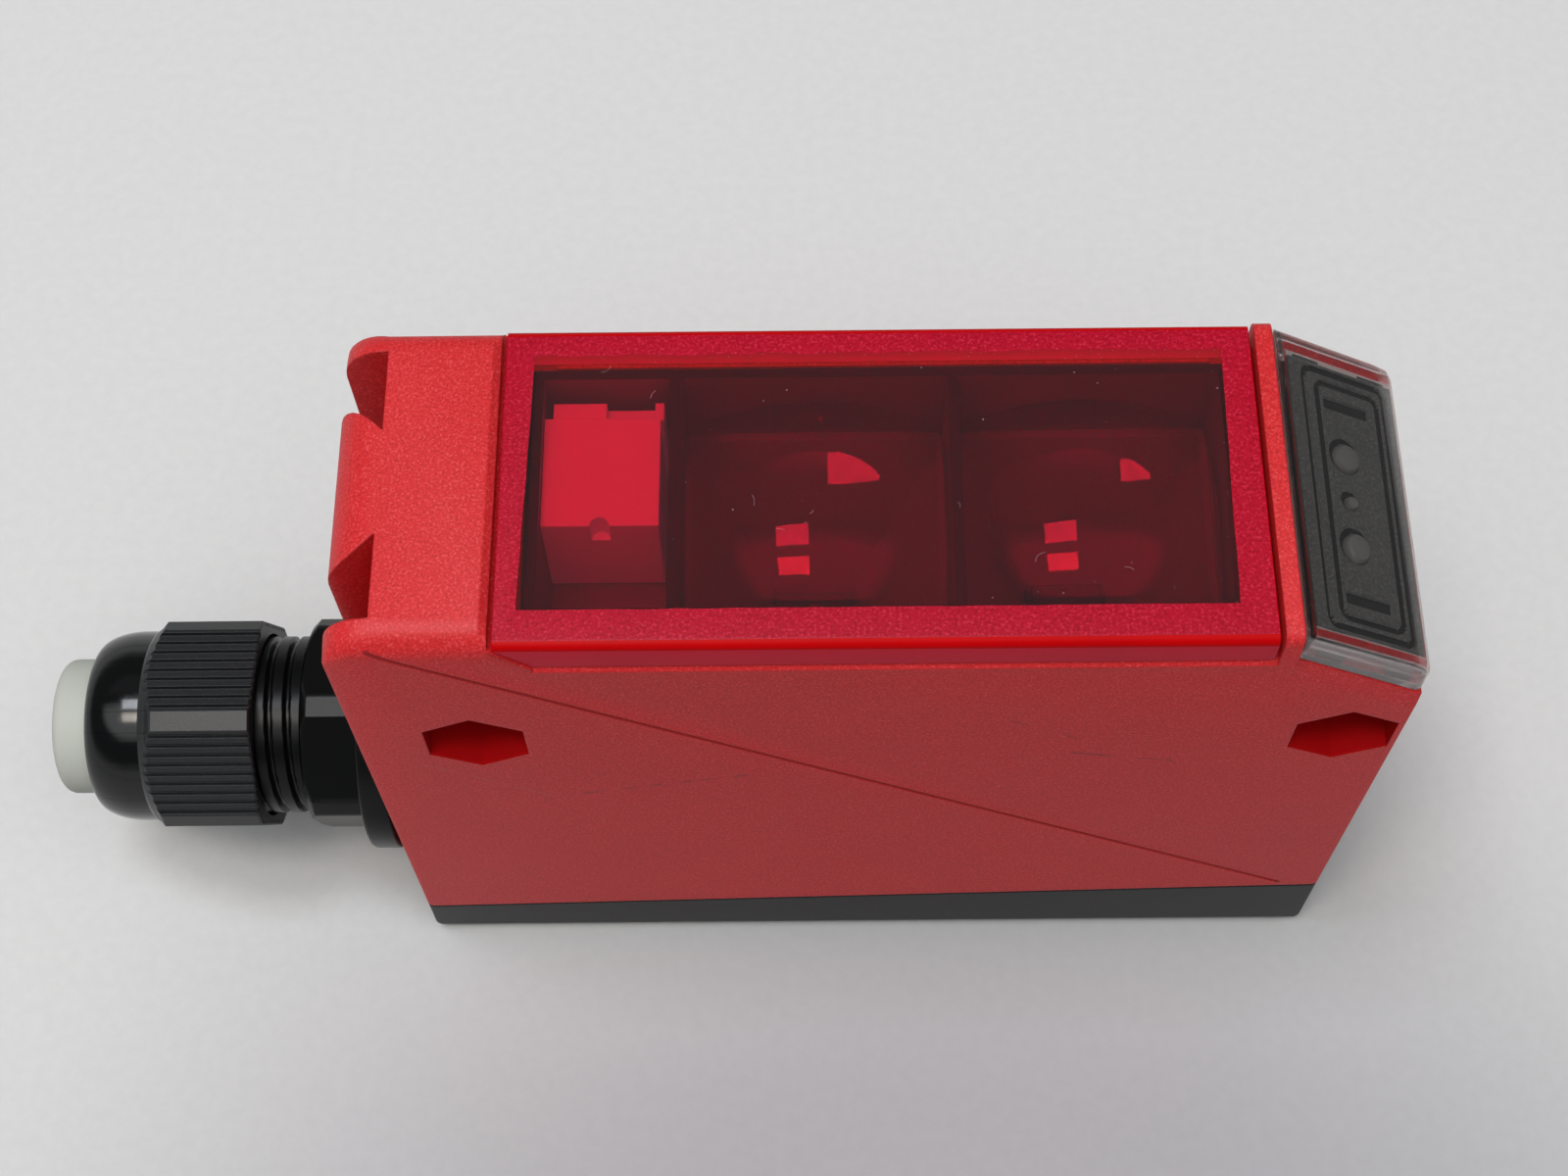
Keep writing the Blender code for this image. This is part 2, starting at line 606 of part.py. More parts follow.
def build_optics_cover():
    """Red window with a bevelled edge and a skirt that drops over the housing's rails."""
    left = CAP_RIGHT + SEAM
    right = RIB_LEFT - SEAM
    half = SIDE - COVER_SIDE_INSET
    slope_end = SEAT_LEFT + (SEAM - GAP) + 0.1 * MM

    def outline(bevel):
        corner = min(slope_end - left, COVER_DEPTH - bevel - COVER_CORNER)
        return [
            (slope_end - corner + bevel * 0.5 + 0.1 * MM, COVER_TOP - bevel),
            (slope_end - corner, COVER_TOP - bevel - 0.3 * MM),
            (slope_end - corner, COVER_BOTTOM + corner),
            (slope_end, COVER_BOTTOM),
            (right, COVER_BOTTOM),
            (right, COVER_TOP - bevel - 0.3 * MM),
            (right - bevel * 0.5 - 0.3 * MM, COVER_TOP - bevel),
        ]

    rings = []
    for share in (0.0, 0.35, 1.0):
        bevel = round_inset(share * COVER_BEVEL, COVER_BEVEL)
        rings.append([(x, -half + share * COVER_BEVEL, z) for x, z in outline(bevel)])
    for share in (1.0, 0.35, 0.0):
        bevel = round_inset(share * COVER_BEVEL, COVER_BEVEL)
        rings.append([(x, half - share * COVER_BEVEL, z) for x, z in outline(bevel)])
    cover = place("optics_cover", loft("optics_cover", rings), finish("red_window", "#a81228", 0.12, 0, 0.8))
    inner = block(
        "inner", CARRIER_LEFT - GAP, right - COVER_SIDE_WALL,
        -half + COVER_SIDE_WALL, half - COVER_SIDE_WALL, COVER_BOTTOM - OVERSHOOT, COVER_TOP - COVER_TOP_WALL,
    )
    cut(cover, tool("optics_cover_inside", inner))
    return shaded(cover)


def bay_bounds():
    """Left and right ends of the three bays of the optics carrier."""
    bounds = []
    x = CARRIER_LEFT + CARRIER_WALL
    for length in (GUIDE_BAY, EMITTER_BAY, RECEIVER_BAY):
        bounds.append((x, x + length))
        x += length + CARRIER_WALL
    return bounds


def build_optics_carrier():
    """Black carrier: three bays, a lens seat in two of them and a funnel under each lens."""
    half = CARRIER_WIDTH / 2
    inner = half - CARRIER_WALL
    seat = CARRIER_TOP - LENS_DEPTH
    carrier = place(
        "optics_carrier",
        block("carrier", CARRIER_LEFT, CARRIER_RIGHT, -half, half, seat - CARRIER_WALL, CARRIER_TOP),
        finish("black_carrier", "#1c1a1c", 0.6),
    )
    guide, emitter, receiver = bay_bounds()
    guide_floor = CARRIER_TOP - GUIDE_DEPTH
    guide_box = block(
        "guide_box", CARRIER_LEFT, guide[1] + CARRIER_WALL, -half, half, guide_floor - CARRIER_WALL, seat,
    )
    join(carrier, tool("guide_box", guide_box))
    guide_well = block(
        "well", guide[0], guide[1], -inner, inner, guide_floor, CARRIER_TOP + OVERSHOOT,
    )

    def funnel(name, middle, upper, wall, low, high):
        lower = DIODE_WINDOW / 2
        rings = []
        for z, half_x, half_y in (
            (low, lower, lower),
            (CARRIER_BOTTOM + CARRIER_FLOOR, lower, lower),
            (high, upper, inner - LENS_STEP),
        ):
            half_x += wall
            half_y += wall
            rings.append([(middle - half_x, -half_y, z), (middle + half_x, -half_y, z),
                          (middle + half_x, half_y, z), (middle - half_x, half_y, z)])
        return loft(name, rings)

    funnels = []
    for label, (x_low, x_high) in (("emitter", emitter), ("receiver", receiver)):
        middle = (x_low + x_high) / 2
        upper = (x_high - x_low) / 2 - LENS_STEP
        outer = funnel("outer", middle, upper, CARRIER_WALL, CARRIER_BOTTOM, seat - 0.2 * MM)
        join(carrier, tool(label + "_funnel_wall", outer))
        well = block("well", x_low, x_high, -inner, inner, seat, CARRIER_TOP + OVERSHOOT)
        funnels.append(tool(label + "_bay", well))
        hollow = funnel("funnel", middle, upper, 0.0, CARRIER_BOTTOM - OVERSHOOT, seat + 0.1 * MM)
        funnels.append(tool(label + "_funnel", hollow))
    cut(carrier, tool("guide_bay", guide_well), *funnels)
    return carrier


def build_lens(name, bounds, material):
    """Plano-convex lens cut to a rectangle, with a thin upright rim."""
    half_x = (bounds[1] - bounds[0]) / 2 - GAP
    half_y = CARRIER_WIDTH / 2 - CARRIER_WALL - GAP
    reach = sqrt(half_x * half_x + half_y * half_y)
    radius = (reach * reach + LENS_SAG * LENS_SAG) / (2 * LENS_SAG)
    base = CARRIER_TOP - LENS_DEPTH + GAP
    steps = 10
    bm = bmesh.new()
    bmesh.ops.create_grid(bm, x_segments=steps, y_segments=steps, size=1.0)
    for vert in bm.verts:
        x, y = vert.co.x * half_x, vert.co.y * half_y
        rise = sqrt(radius * radius - x * x - y * y) - (radius - LENS_SAG)
        vert.co = (x, y, LENS_RIM + max(rise, 0.0))
    extruded = bmesh.ops.extrude_face_region(bm, geom=bm.faces[:])
    for vert in (item for item in extruded["geom"] if isinstance(item, bmesh.types.BMVert)):
        vert.co.z = 0.0
    middle = (bounds[0] + bounds[1]) / 2
    return shaded(place(name, mesh_from(bm, name), material, None, (middle, 0, base)))


def build_guide():
    """Pale light guide block in the small bay, with a narrow strip behind it."""
    low, high = bay_bounds()[0]
    inner = CARRIER_WIDTH / 2 - CARRIER_WALL
    floor = CARRIER_TOP - GUIDE_DEPTH + GAP
    top = CARRIER_TOP - 1.2 * MM
    far = inner - GAP
    near = far - GUIDE_STRIP - GUIDE_LENGTH
    guide = place(
        "light_guide", block("guide", low + GAP, high - GAP, near, far, floor, top),
        finish("pale_light_guide", "#e6dfd8", 0.4),
    )
    groove = block(
        "groove", low, high, far - GUIDE_STRIP - 0.5 * MM, far - GUIDE_STRIP, top - 1.5 * MM, top + OVERSHOOT,
    )
    cut(guide, tool("light_guide_groove", groove))
    middle = (low + high) / 2
    notch = cylinder("notch", 0.8 * MM, top - 0.8 * MM, top + OVERSHOOT, (middle, near), segments=20)
    cut(guide, tool("light_guide_notch", notch))
    return guide


def build_diodes():
    """The emitter's domed diode and the receiver's flat package, under their lenses."""
    _, emitter, receiver = bay_bounds()
    base = MAIN_BOARD_TOP + GAP
    flange = DIODE_RADIUS + 0.4 * MM
    profile = [(0, 0), (flange, 0), (flange, DIODE_BODY / 2), (DIODE_RADIUS, DIODE_BODY / 2)]
    profile += arc((0, DIODE_BODY), DIODE_RADIUS, 0, 1, 6)[:-1]
    profile += [(0, DIODE_BODY + DIODE_RADIUS)]
    shaded(place(
        "emitter_diode", turned("emitter", profile, 24), finish("red_diode", "#d8402c", 0.15, 0, 0.6),
        None, ((emitter[0] + emitter[1]) / 2, 0, base),
    ))
    half = DIODE_WINDOW / 2 - 2 * GAP
    receiver_diode = place(
        "receiver_diode", block("receiver", -half, half, -half, half, 0, 2.0 * MM),
        finish("dark_diode", "#2a1c20", 0.3), None, ((receiver[0] + receiver[1]) / 2, 0, base),
    )
    dome = cylinder("dome", 1.6 * MM, 1.0 * MM, 2.8 * MM, segments=24)
    join(receiver_diode, tool("receiver_dome", dome, None, receiver_diode.location))


def build_boards():
    """Main board under the optics, base board behind it, and the strip that joins them."""
    half = BOARD_WIDTH / 2
    green = finish("board_laminate", "#1f5a36", 0.45)
    main = place(
        "main_board",
        block("board", CARRIER_LEFT + GAP, CARRIER_RIGHT, -half, half, MAIN_BOARD_BOTTOM, MAIN_BOARD_TOP),
        green,
    )
    length = BASE_BOARD_LENGTH / 2
    place(
        "base_board", block("board", -length, length, -half, half, BASE_BOARD_BOTTOM, BASE_BOARD_TOP),
        finish("base_board_laminate", "#1f5a36", 0.45),
    )
    header_x = length - HEADER_LENGTH / 2 - 2.0 * MM
    header = block(
        "header", header_x - HEADER_LENGTH / 2, header_x + HEADER_LENGTH / 2,
        -half + 2.0 * MM, -half + 2.0 * MM + HEADER_WIDTH, BASE_BOARD_TOP + GAP, MAIN_BOARD_BOTTOM - GAP,
    )
    place("board_header", header, finish("header_plastic", "#161616", 0.5))
    x, y, z = RELAY
    relay = place(
        "output_relay", block("relay", -x / 2, x / 2, -y / 2, y / 2, 0, z), finish("relay_case", "#2b2f34", 0.35),
        None, (-length + RELAY_INSET + x / 2, 0, BASE_BOARD_TOP + GAP),
    )
    bevel = relay.modifiers.new("edges", "BEVEL")
    bevel.width = 0.5 * MM
    bevel.segments = 2
    x, y, z = CHIP
    place(
        "signal_chip", block("chip", -x / 2, x / 2, -y / 2, y / 2, 0, z), finish("chip_case", "#18181a", 0.4),
        None, (length - CHIP_INSET - x / 2, half - y / 2 - 2.0 * MM, BASE_BOARD_TOP + GAP),
    )
    profile = [
        (0, 0), (CAPACITOR_RADIUS, 0), (CAPACITOR_RADIUS, CAPACITOR_HEIGHT - 0.5 * MM),
        (CAPACITOR_RADIUS - 0.5 * MM, CAPACITOR_HEIGHT), (0, CAPACITOR_HEIGHT),
    ]
    capacitor_x = -length + RELAY_INSET + RELAY[0] + CAPACITOR_GAP + CAPACITOR_RADIUS
    shaded(place(
        "supply_capacitor", turned("capacitor", profile, 28), finish("capacitor_can", "#8d9196", 0.3, 0.9),
        None, (capacitor_x, half - CAPACITOR_RADIUS - 2.0 * MM, BASE_BOARD_TOP + GAP),
    ))
    return main


def build_terminals():
    """Screw terminals under the base board, facing the back cover."""
    depth = TERMINAL_LENGTH
    width = TERMINAL_WAYS * TERMINAL_PITCH
    top = BASE_BOARD_BOTTOM - GAP
    x_middle = -BASE_BOARD_LENGTH / 2 + width / 2 + 2.0 * MM
    terminals = place(
        "terminal_block",
        block("terminals", -width / 2, width / 2, -depth / 2, depth / 2, -TERMINAL_HEIGHT, 0),
        finish("terminal_plastic", "#3f5c46", 0.45), None, (x_middle, 0, top),
    )
    screw_metal = finish("terminal_screw_steel", "#9a9c9e", 0.35, 1.0)
    for i in range(TERMINAL_WAYS):
        x = (i - (TERMINAL_WAYS - 1) / 2) * TERMINAL_PITCH
        entry = block(
            "entry", x - WIRE_HOLE / 2, x + WIRE_HOLE / 2, -depth / 2 - OVERSHOOT, -depth / 2 + 5.0 * MM,
            -TERMINAL_HEIGHT + 2.0 * MM, -TERMINAL_HEIGHT + 2.0 * MM + WIRE_HOLE,
        )
        cut(terminals, tool(f"wire_entry_{i + 1}", entry, None, (x_middle, 0, top)))
        well = cylinder(
            "well", TERMINAL_SCREW_RADIUS + GAP, -TERMINAL_HEIGHT - OVERSHOOT, -TERMINAL_HEIGHT + 2.6 * MM,
            (x, depth / 4), segments=20,
        )
        cut(terminals, tool(f"screw_well_{i + 1}", well, None, (x_middle, 0, top)))
        screw = place(
            f"terminal_screw_{i + 1}",
            cylinder("screw", TERMINAL_SCREW_RADIUS, 0, 1.8 * MM, segments=20), screw_metal,
            None, (x_middle + x, depth / 4, top - TERMINAL_HEIGHT + 0.5 * MM),
        )
        slot = block(
            "slot", -TERMINAL_SCREW_RADIUS - OVERSHOOT, TERMINAL_SCREW_RADIUS + OVERSHOOT,
            -0.25 * MM, 0.25 * MM, -OVERSHOOT, 0.6 * MM,
        )
        cut(screw, tool(f"terminal_slot_{i + 1}", slot, None, screw.location))
        shaded(screw)


def build_indicator():
    """Clear corner window over a dark panel with three lamps on a small board."""
    left = INDICATOR_LEFT + GAP
    half = SIDE - INDICATOR_INSET

    def outline(inset):
        right = RIGHT - inset
        return [
            (left, slope(left, inset)),
            (right - 2 * INDICATOR_RADIUS, slope(right - 2 * INDICATOR_RADIUS, inset)),
            (right - 0.6 * INDICATOR_RADIUS, slope(right - 0.6 * INDICATOR_RADIUS, inset) - 0.2 * INDICATOR_RADIUS),
            (right, slope(right, inset) - 1.1 * INDICATOR_RADIUS),
            (right, slope(right, INDICATOR_DEPTH)),
            (left, slope(left, INDICATOR_DEPTH)),
        ]

    rings = []
    shares = (0.0, 0.15, 0.5, 1.0)
    for share in shares:
        inset = round_inset(share * INDICATOR_RADIUS, INDICATOR_RADIUS)
        rings.append([(x, -half + share * INDICATOR_RADIUS, z) for x, z in outline(inset)])
    for share in reversed(shares):
        inset = round_inset(share * INDICATOR_RADIUS, INDICATOR_RADIUS)
        rings.append([(x, half - share * INDICATOR_RADIUS, z) for x, z in outline(inset)])
    window = place("indicator_cover", loft("window", rings), finish("clear_window", "#d8d4d2", 0.1, 0, 0.9))
    x_low = left + INDICATOR_WALL * 0.7
    x_high = RIGHT - INDICATOR_WALL
    y_in = half - INDICATOR_WALL - 0.4 * MM
    inner = sloped_block(
        "inner", x_low, x_high, -y_in, y_in,
        lambda x: slope(x, INDICATOR_DEPTH + OVERSHOOT), lambda x: slope(x, INDICATOR_WALL),
    )
    cut(window, tool("indicator_inside", inner))
    shaded(window)

    panel_top = INDICATOR_WALL + GAP
    panel_low = panel_top + PANEL_THICKNESS
    x_low += GAP
    x_high -= GAP
    y_panel = y_in - GAP
    panel = place(
        "indicator_panel",
        sloped_block(
            "panel", x_low, x_high, -y_panel, y_panel, lambda x: slope(x, panel_low), lambda x: slope(x, panel_top),
        ),
        finish("dark_panel", "#46494a", 0.5),
    )
    middle = (x_low + x_high) / 2
    turn = (0, INDICATOR_ANGLE, 0)
    for label, sy in (("near", -1), ("far", 1)):
        for number, share in ((1, 0.22), (2, 0.78)):
            x = x_low + (x_high - x_low) * share
            y_low, y_high = sorted((sy * y_panel, sy * (y_panel - 1.2 * MM)))
            foot = sloped_block(
                "foot", x - 1.2 * MM, x + 1.2 * MM, y_low + 0.05 * MM, y_high - 0.05 * MM,
                lambda x: slope(x, INDICATOR_DEPTH), lambda x: slope(x, panel_low - 0.3 * MM),
            )
            join(panel, tool(f"panel_foot_{label}_{number}", foot))
    centre = (middle, 0, slope(middle, panel_top))
    length = (x_high - x_low) / cos(INDICATOR_ANGLE)
    width = 2 * y_panel
    for number, shift, side_inset, end_inset in (
        (1, 0.5 * MM, 0.9 * MM, 0.9 * MM), (2, 0.6 * MM, 1.9 * MM, 2.0 * MM),
    ):
        outer = rounded_rectangle(length - 2 * side_inset, width - 2 * end_inset, 1.2 * MM, centre=(shift, 0))
        inner = rounded_rectangle(
            length - 2 * (side_inset + PANEL_GROOVE), width - 2 * (end_inset + PANEL_GROOVE),
            1.2 * MM - PANEL_GROOVE / 2, centre=(shift, 0),
        )
        ring = frame_z("groove", outer, inner, -PANEL_GROOVE_DEPTH, OVERSHOOT)
        cut(panel, tool(f"panel_groove_{number}", ring, None, centre, turn))
    for number, sy in ((1, -1), (2, 1)):
        reach = width / 2 - 4.4 * MM
        bar = block(
            "bar", -1.4 * MM, 2.4 * MM, sy * reach - PANEL_BAR / 2, sy * reach + PANEL_BAR / 2,
            -PANEL_GROOVE_DEPTH, OVERSHOOT,
        )
        cut(panel, tool(f"panel_bar_{number}", bar, None, centre, turn))

    lamp_material = finish("clear_lamp", "#c9cbc6", 0.2, 0, 0.5)
    lamps = ((-LAMP_PITCH, LAMP_RADIUS), (0.0, LAMP_SMALL_RADIUS), (LAMP_PITCH, LAMP_RADIUS))
    for number, (y, radius) in enumerate(lamps, 1):
        spot = (middle, y, slope(middle, panel_low))
        hole = cylinder("hole", radius + 0.25 * MM, -OVERSHOOT, PANEL_THICKNESS + OVERSHOOT, segments=28)
        cut(panel, tool(f"lamp_hole_{number}", hole, None, spot, turn))
        height = PANEL_THICKNESS * cos(INDICATOR_ANGLE)
        profile = [(0, 0), (radius, 0), (radius, 0.4 * height), (0.8 * radius, 0.8 * height), (0, height)]
        shaded(place(f"indicator_lamp_{number}", turned("lamp", profile, 24), lamp_material, None, spot, turn))

    board_top = panel_low + GAP
    place(
        "lamp_board",
        sloped_block(
            "lamp_board", x_low + 0.4 * MM, x_high - 0.4 * MM, -y_panel + 1.6 * MM, y_panel - 1.6 * MM,
            lambda x: slope(x, board_top + LAMP_BOARD), lambda x: slope(x, board_top),
        ),
        finish("lamp_board_laminate", "#20402c", 0.5),
    )


def build_back_cover():
    """Dark tray that closes the housing; its rim carries the gasket."""
    rings = []
    steps = 5
    for i in range(steps + 1):
        angle = pi / 2 * i / steps
        inset = BACK_RADIUS * (1 - sin(angle))
        corner = max(EDGE_RADIUS - inset, 0.2 * MM)
        outline = rounded_rectangle(HOUSING_LENGTH - 2 * inset, HOUSING_WIDTH - 2 * inset, corner, 2)
        rings.append([(x, y, BACK_RADIUS * (1 - cos(angle))) for x, y in outline])
    rings.append([(x, y, joint_line(x) - GAP / 2) for x, y in outline])
    cover = place("back_cover", loft("back_cover", rings), finish("dark_back_cover", "#2e2c2e", 0.45))

    inner_x = RIGHT - END_WALL - GAP
    inner_y = INNER_SIDE - GAP
    inside = block(
        "inside", -inner_x, inner_x, -inner_y, inner_y, COVER_FLOOR, JOINT_RIGHT + JOINT_LEFT,
    )
    cut(cover, tool("back_cover_inside", inside))
    rebate_x = RIGHT - END_WALL + GASKET_WIDTH
    rebate_y = INNER_SIDE + GASKET_WIDTH
    rebate = sloped_block(
        "rebate", -rebate_x, rebate_x, -rebate_y, rebate_y,
        lambda x: joint_line(x) - GAP / 2 - GASKET_HEIGHT, lambda x: joint_line(x) + OVERSHOOT,
    )
    cut(cover, tool("gasket_rebate", rebate))

    for label, sx in (("left", -1), ("right", 1)):
        for way, sy in (("near", -1), ("far", 1)):
            x = sx * (RIGHT - SCREW_END_INSET)
            y = sy * (SIDE - SCREW_SIDE_INSET)
            top = joint_line(x - BOSS_RADIUS) - GAP / 2 - GASKET_HEIGHT - 0.2 * MM
            column = cylinder("column", BOSS_RADIUS + 0.5 * MM, COVER_FLOOR / 2, top, (x, y))
            join(cover, tool("column_" + label + "_" + way, column))
    steel = finish("cover_screw_steel", "#8f9193", 0.3, 1.0)
    for label, sx in (("left", -1), ("right", 1)):
        for way, sy in (("near", -1), ("far", 1)):
            x = sx * (RIGHT - SCREW_END_INSET)
            y = sy * (SIDE - SCREW_SIDE_INSET)
            recess = cylinder(
                "recess", SCREW_HEAD_RADIUS + GAP, -OVERSHOOT, SCREW_HEAD_HEIGHT + 2 * GAP, (x, y), segments=24,
            )
            cut(cover, tool("head_recess_" + label + "_" + way, recess))
            bore = cylinder(
                "bore", SCREW_SHANK_RADIUS + GAP, 0.5 * MM, JOINT_RIGHT + OVERSHOOT, (x, y), segments=20,
            )
            cut(cover, tool("cover_bore_" + label + "_" + way, bore))
            profile = [
                (0, 0), (SCREW_HEAD_RADIUS - 0.3 * MM, 0), (SCREW_HEAD_RADIUS, 0.3 * MM),
                (SCREW_HEAD_RADIUS, SCREW_HEAD_HEIGHT), (SCREW_SHANK_RADIUS, SCREW_HEAD_HEIGHT),
                (SCREW_SHANK_RADIUS, SCREW_HEAD_HEIGHT + SCREW_LENGTH - 0.6 * MM),
                (SCREW_SHANK_RADIUS - 0.6 * MM, SCREW_HEAD_HEIGHT + SCREW_LENGTH),
                (0, SCREW_HEAD_HEIGHT + SCREW_LENGTH),
            ]
            screw = place(
                "cover_screw_" + label + "_" + way, turned("screw", profile, 16), steel, None, (x, y, GAP),
            )
            slot = block(
                "slot", -SCREW_HEAD_RADIUS - OVERSHOOT, SCREW_HEAD_RADIUS + OVERSHOOT,
                -SCREW_SLOT / 2, SCREW_SLOT / 2, -OVERSHOOT, 1.1 * MM,
            )
            cut(screw, tool("screw_slot_" + label + "_" + way, slot, None, screw.location))
            shaded(screw)

    gasket_x = rebate_x - GAP
    gasket_y = rebate_y - GAP
    low = GAP / 2 + GASKET_HEIGHT - GAP
    gasket = place(
        "cover_gasket",
        sloped_block(
            "gasket", -gasket_x, gasket_x, -gasket_y, gasket_y,
            lambda x: joint_line(x) - low, lambda x: joint_line(x) - GAP / 2,
        ),
        finish("gasket_rubber", "#1a1a1a", 0.8),
    )
    hole = sloped_block(
        "hole", -gasket_x + GASKET_WIDTH - GAP, gasket_x - GASKET_WIDTH + GAP,
        -gasket_y + GASKET_WIDTH - GAP, gasket_y - GASKET_WIDTH + GAP,
        lambda x: joint_line(x) - low - OVERSHOOT, lambda x: joint_line(x) + OVERSHOOT,
    )
    cut(gasket, tool("gasket_hole", hole))


def build_gland():
    """Cable gland: body, flat seal, lock nut, ribbed cap nut, cage and sealing insert."""
    axis = bpy.data.objects.new("gland_axis", None)
    bpy.context.scene.collection.objects.link(axis)
    axis.location = (LEFT, 0, GLAND_HEIGHT)
    axis.rotation_euler = (0, -pi / 2, 0)

    corner = GLAND_FLATS / sqrt(3)
    body = place(
        "gland_body",
        prism_z("body", hexagon(GLAND_FLATS, GLAND_CORNER_STRIP, HEX_TURN), HEX_START - 0.5 * MM, NECK_START),
        finish("black_gland_body", "#1b1d1f", 0.4), axis,
    )
    end_radius = NECK_RADIUS + HEX_END_STEP
    envelope = [
        (0, 0), (corner + OVERSHOOT, 0),
        (corner + OVERSHOOT, NECK_START - HEX_CHAMFER - 0.5 * MM),
        (GLAND_FLATS / 2 + 0.1 * MM, NECK_START - HEX_CHAMFER),
        (end_radius, NECK_START), (end_radius, NECK_START + OVERSHOOT), (0, NECK_START + OVERSHOOT),
    ]
    combine(body, tool("hex_envelope", turned("envelope", envelope), axis), "INTERSECT")
    profile = [
        (0, -SPIGOT_LENGTH),
        (GLAND_THREAD_RADIUS, -SPIGOT_LENGTH),
        (GLAND_THREAD_RADIUS, COLLAR_START),
        (COLLAR_RADIUS - COLLAR_BEVEL, COLLAR_START),
        (COLLAR_RADIUS, COLLAR_START + COLLAR_BEVEL),
        (COLLAR_RADIUS, HEX_START - COLLAR_BEVEL),
        (COLLAR_RADIUS - COLLAR_BEVEL, HEX_START),
        (NECK_RADIUS - THREAD_DEPTH, HEX_START),
    ]
    z = NECK_START + 0.4 * MM
    for _ in range(THREAD_TURNS):
        profile += [
            (NECK_RADIUS - THREAD_DEPTH, z),
            (NECK_RADIUS, z + 0.35 * THREAD_PITCH),
            (NECK_RADIUS, z + 0.6 * THREAD_PITCH),
        ]
        z += THREAD_PITCH
    profile += [
        (NECK_RADIUS - THREAD_DEPTH, z),
        (NECK_RADIUS - THREAD_DEPTH, NECK_END),
        (0, NECK_END),
    ]
    join(body, tool("gland_core", turned("core", profile), axis))
    bore = cylinder("bore", GLAND_BORE_RADIUS, -SPIGOT_LENGTH - OVERSHOOT, NECK_END + OVERSHOOT, segments=40)
    cut(body, tool("gland_bore", bore, axis))
    shaded(body)

    seal = [
        (GLAND_THREAD_RADIUS + GAP, GAP), (COLLAR_RADIUS - 2 * GAP, GAP),
        (COLLAR_RADIUS - 2 * GAP, GAP + GLAND_SEAL_THICKNESS), (GLAND_THREAD_RADIUS + GAP, GAP + GLAND_SEAL_THICKNESS),
    ]
    shaded(place("gland_seal", turned("seal", seal), finish("gland_seal_rubber", "#141414", 0.8), axis))

    lock_nut = place(
        "gland_lock_nut",
        prism_z(
            "lock_nut", hexagon(LOCK_NUT_FLATS, GLAND_CORNER_STRIP, 0.0),
            -END_WALL - GAP - LOCK_NUT_THICKNESS, -END_WALL - GAP,
        ),
        finish("lock_nut_plastic", "#202224", 0.45), axis,
    )
    nut_bore = cylinder(
        "bore", GLAND_THREAD_RADIUS + GAP, -END_WALL - LOCK_NUT_THICKNESS - OVERSHOOT, 0, segments=40,
    )
    cut(lock_nut, tool("lock_nut_bore", nut_bore, axis))
    shaded(lock_nut)

    cap_nut = place(
        "gland_cap_nut",
        prism_z("cap_nut", hexagon(GLAND_FLATS, GLAND_CORNER_STRIP, NUT_TURN, True), NUT_RIB_START, NUT_RIB_END),
        finish("ribbed_cap_nut", "#24272a", 0.42), axis,
    )
    envelope = [
        (0, NUT_RIB_START - OVERSHOOT), (corner + OVERSHOOT, NUT_RIB_START - OVERSHOOT),
        (corner + OVERSHOOT, NUT_RIB_END - 3.6 * MM),
        (GLAND_FLATS / 2 + 0.25 * MM, NUT_RIB_END - 2.2 * MM),
        (NUT_DOME_RADIUS - 0.2 * MM, NUT_RIB_END - 0.4 * MM), (0, NUT_RIB_END - 0.4 * MM),
    ]
    combine(cap_nut, tool("nut_envelope", turned("envelope", envelope), axis), "INTERSECT")
    dome_start = NUT_END - NUT_DOME
    profile = [
        (0, NUT_START), (GLAND_FLATS / 2 - 0.9 * MM, NUT_START),
        (GLAND_FLATS / 2 - 0.1 * MM, NUT_START + 0.5 * NUT_COLLAR),
        (GLAND_FLATS / 2 - 0.1 * MM, NUT_RIB_START + 0.3 * MM),
        (NUT_DOME_RADIUS, NUT_RIB_START + 0.3 * MM),
    ]
    reach = NUT_DOME_RADIUS - NUT_MOUTH_RADIUS - 0.5 * MM
    for i in range(9):
        angle = pi / 2 * i / 8
        profile.append((
            NUT_MOUTH_RADIUS + 0.5 * MM + reach * cos(angle),
            dome_start + (NUT_DOME - 0.3 * MM) * sin(angle),
        ))
    profile += [(NUT_MOUTH_RADIUS + 0.4 * MM, NUT_END), (0, NUT_END)]
    join(cap_nut, tool("nut_core", turned("core", profile), axis))
    cage_radius = INSERT_RADIUS + GAP + CAGE_WALL
    hollow = [
        (0, NUT_START - OVERSHOOT), (NECK_RADIUS + GAP, NUT_START - OVERSHOOT),
        (NECK_RADIUS + GAP, NECK_END + GAP), (cage_radius + GAP, NECK_END + 2 * GAP),
        (cage_radius + GAP, dome_start + 0.6 * MM), (NUT_MOUTH_RADIUS, NUT_END - 0.35 * NUT_DOME),
        (NUT_MOUTH_RADIUS, NUT_END + OVERSHOOT), (0, NUT_END + OVERSHOOT),
    ]
    cut(cap_nut, tool("nut_hollow", turned("hollow", hollow), axis))
    shaded(cap_nut)

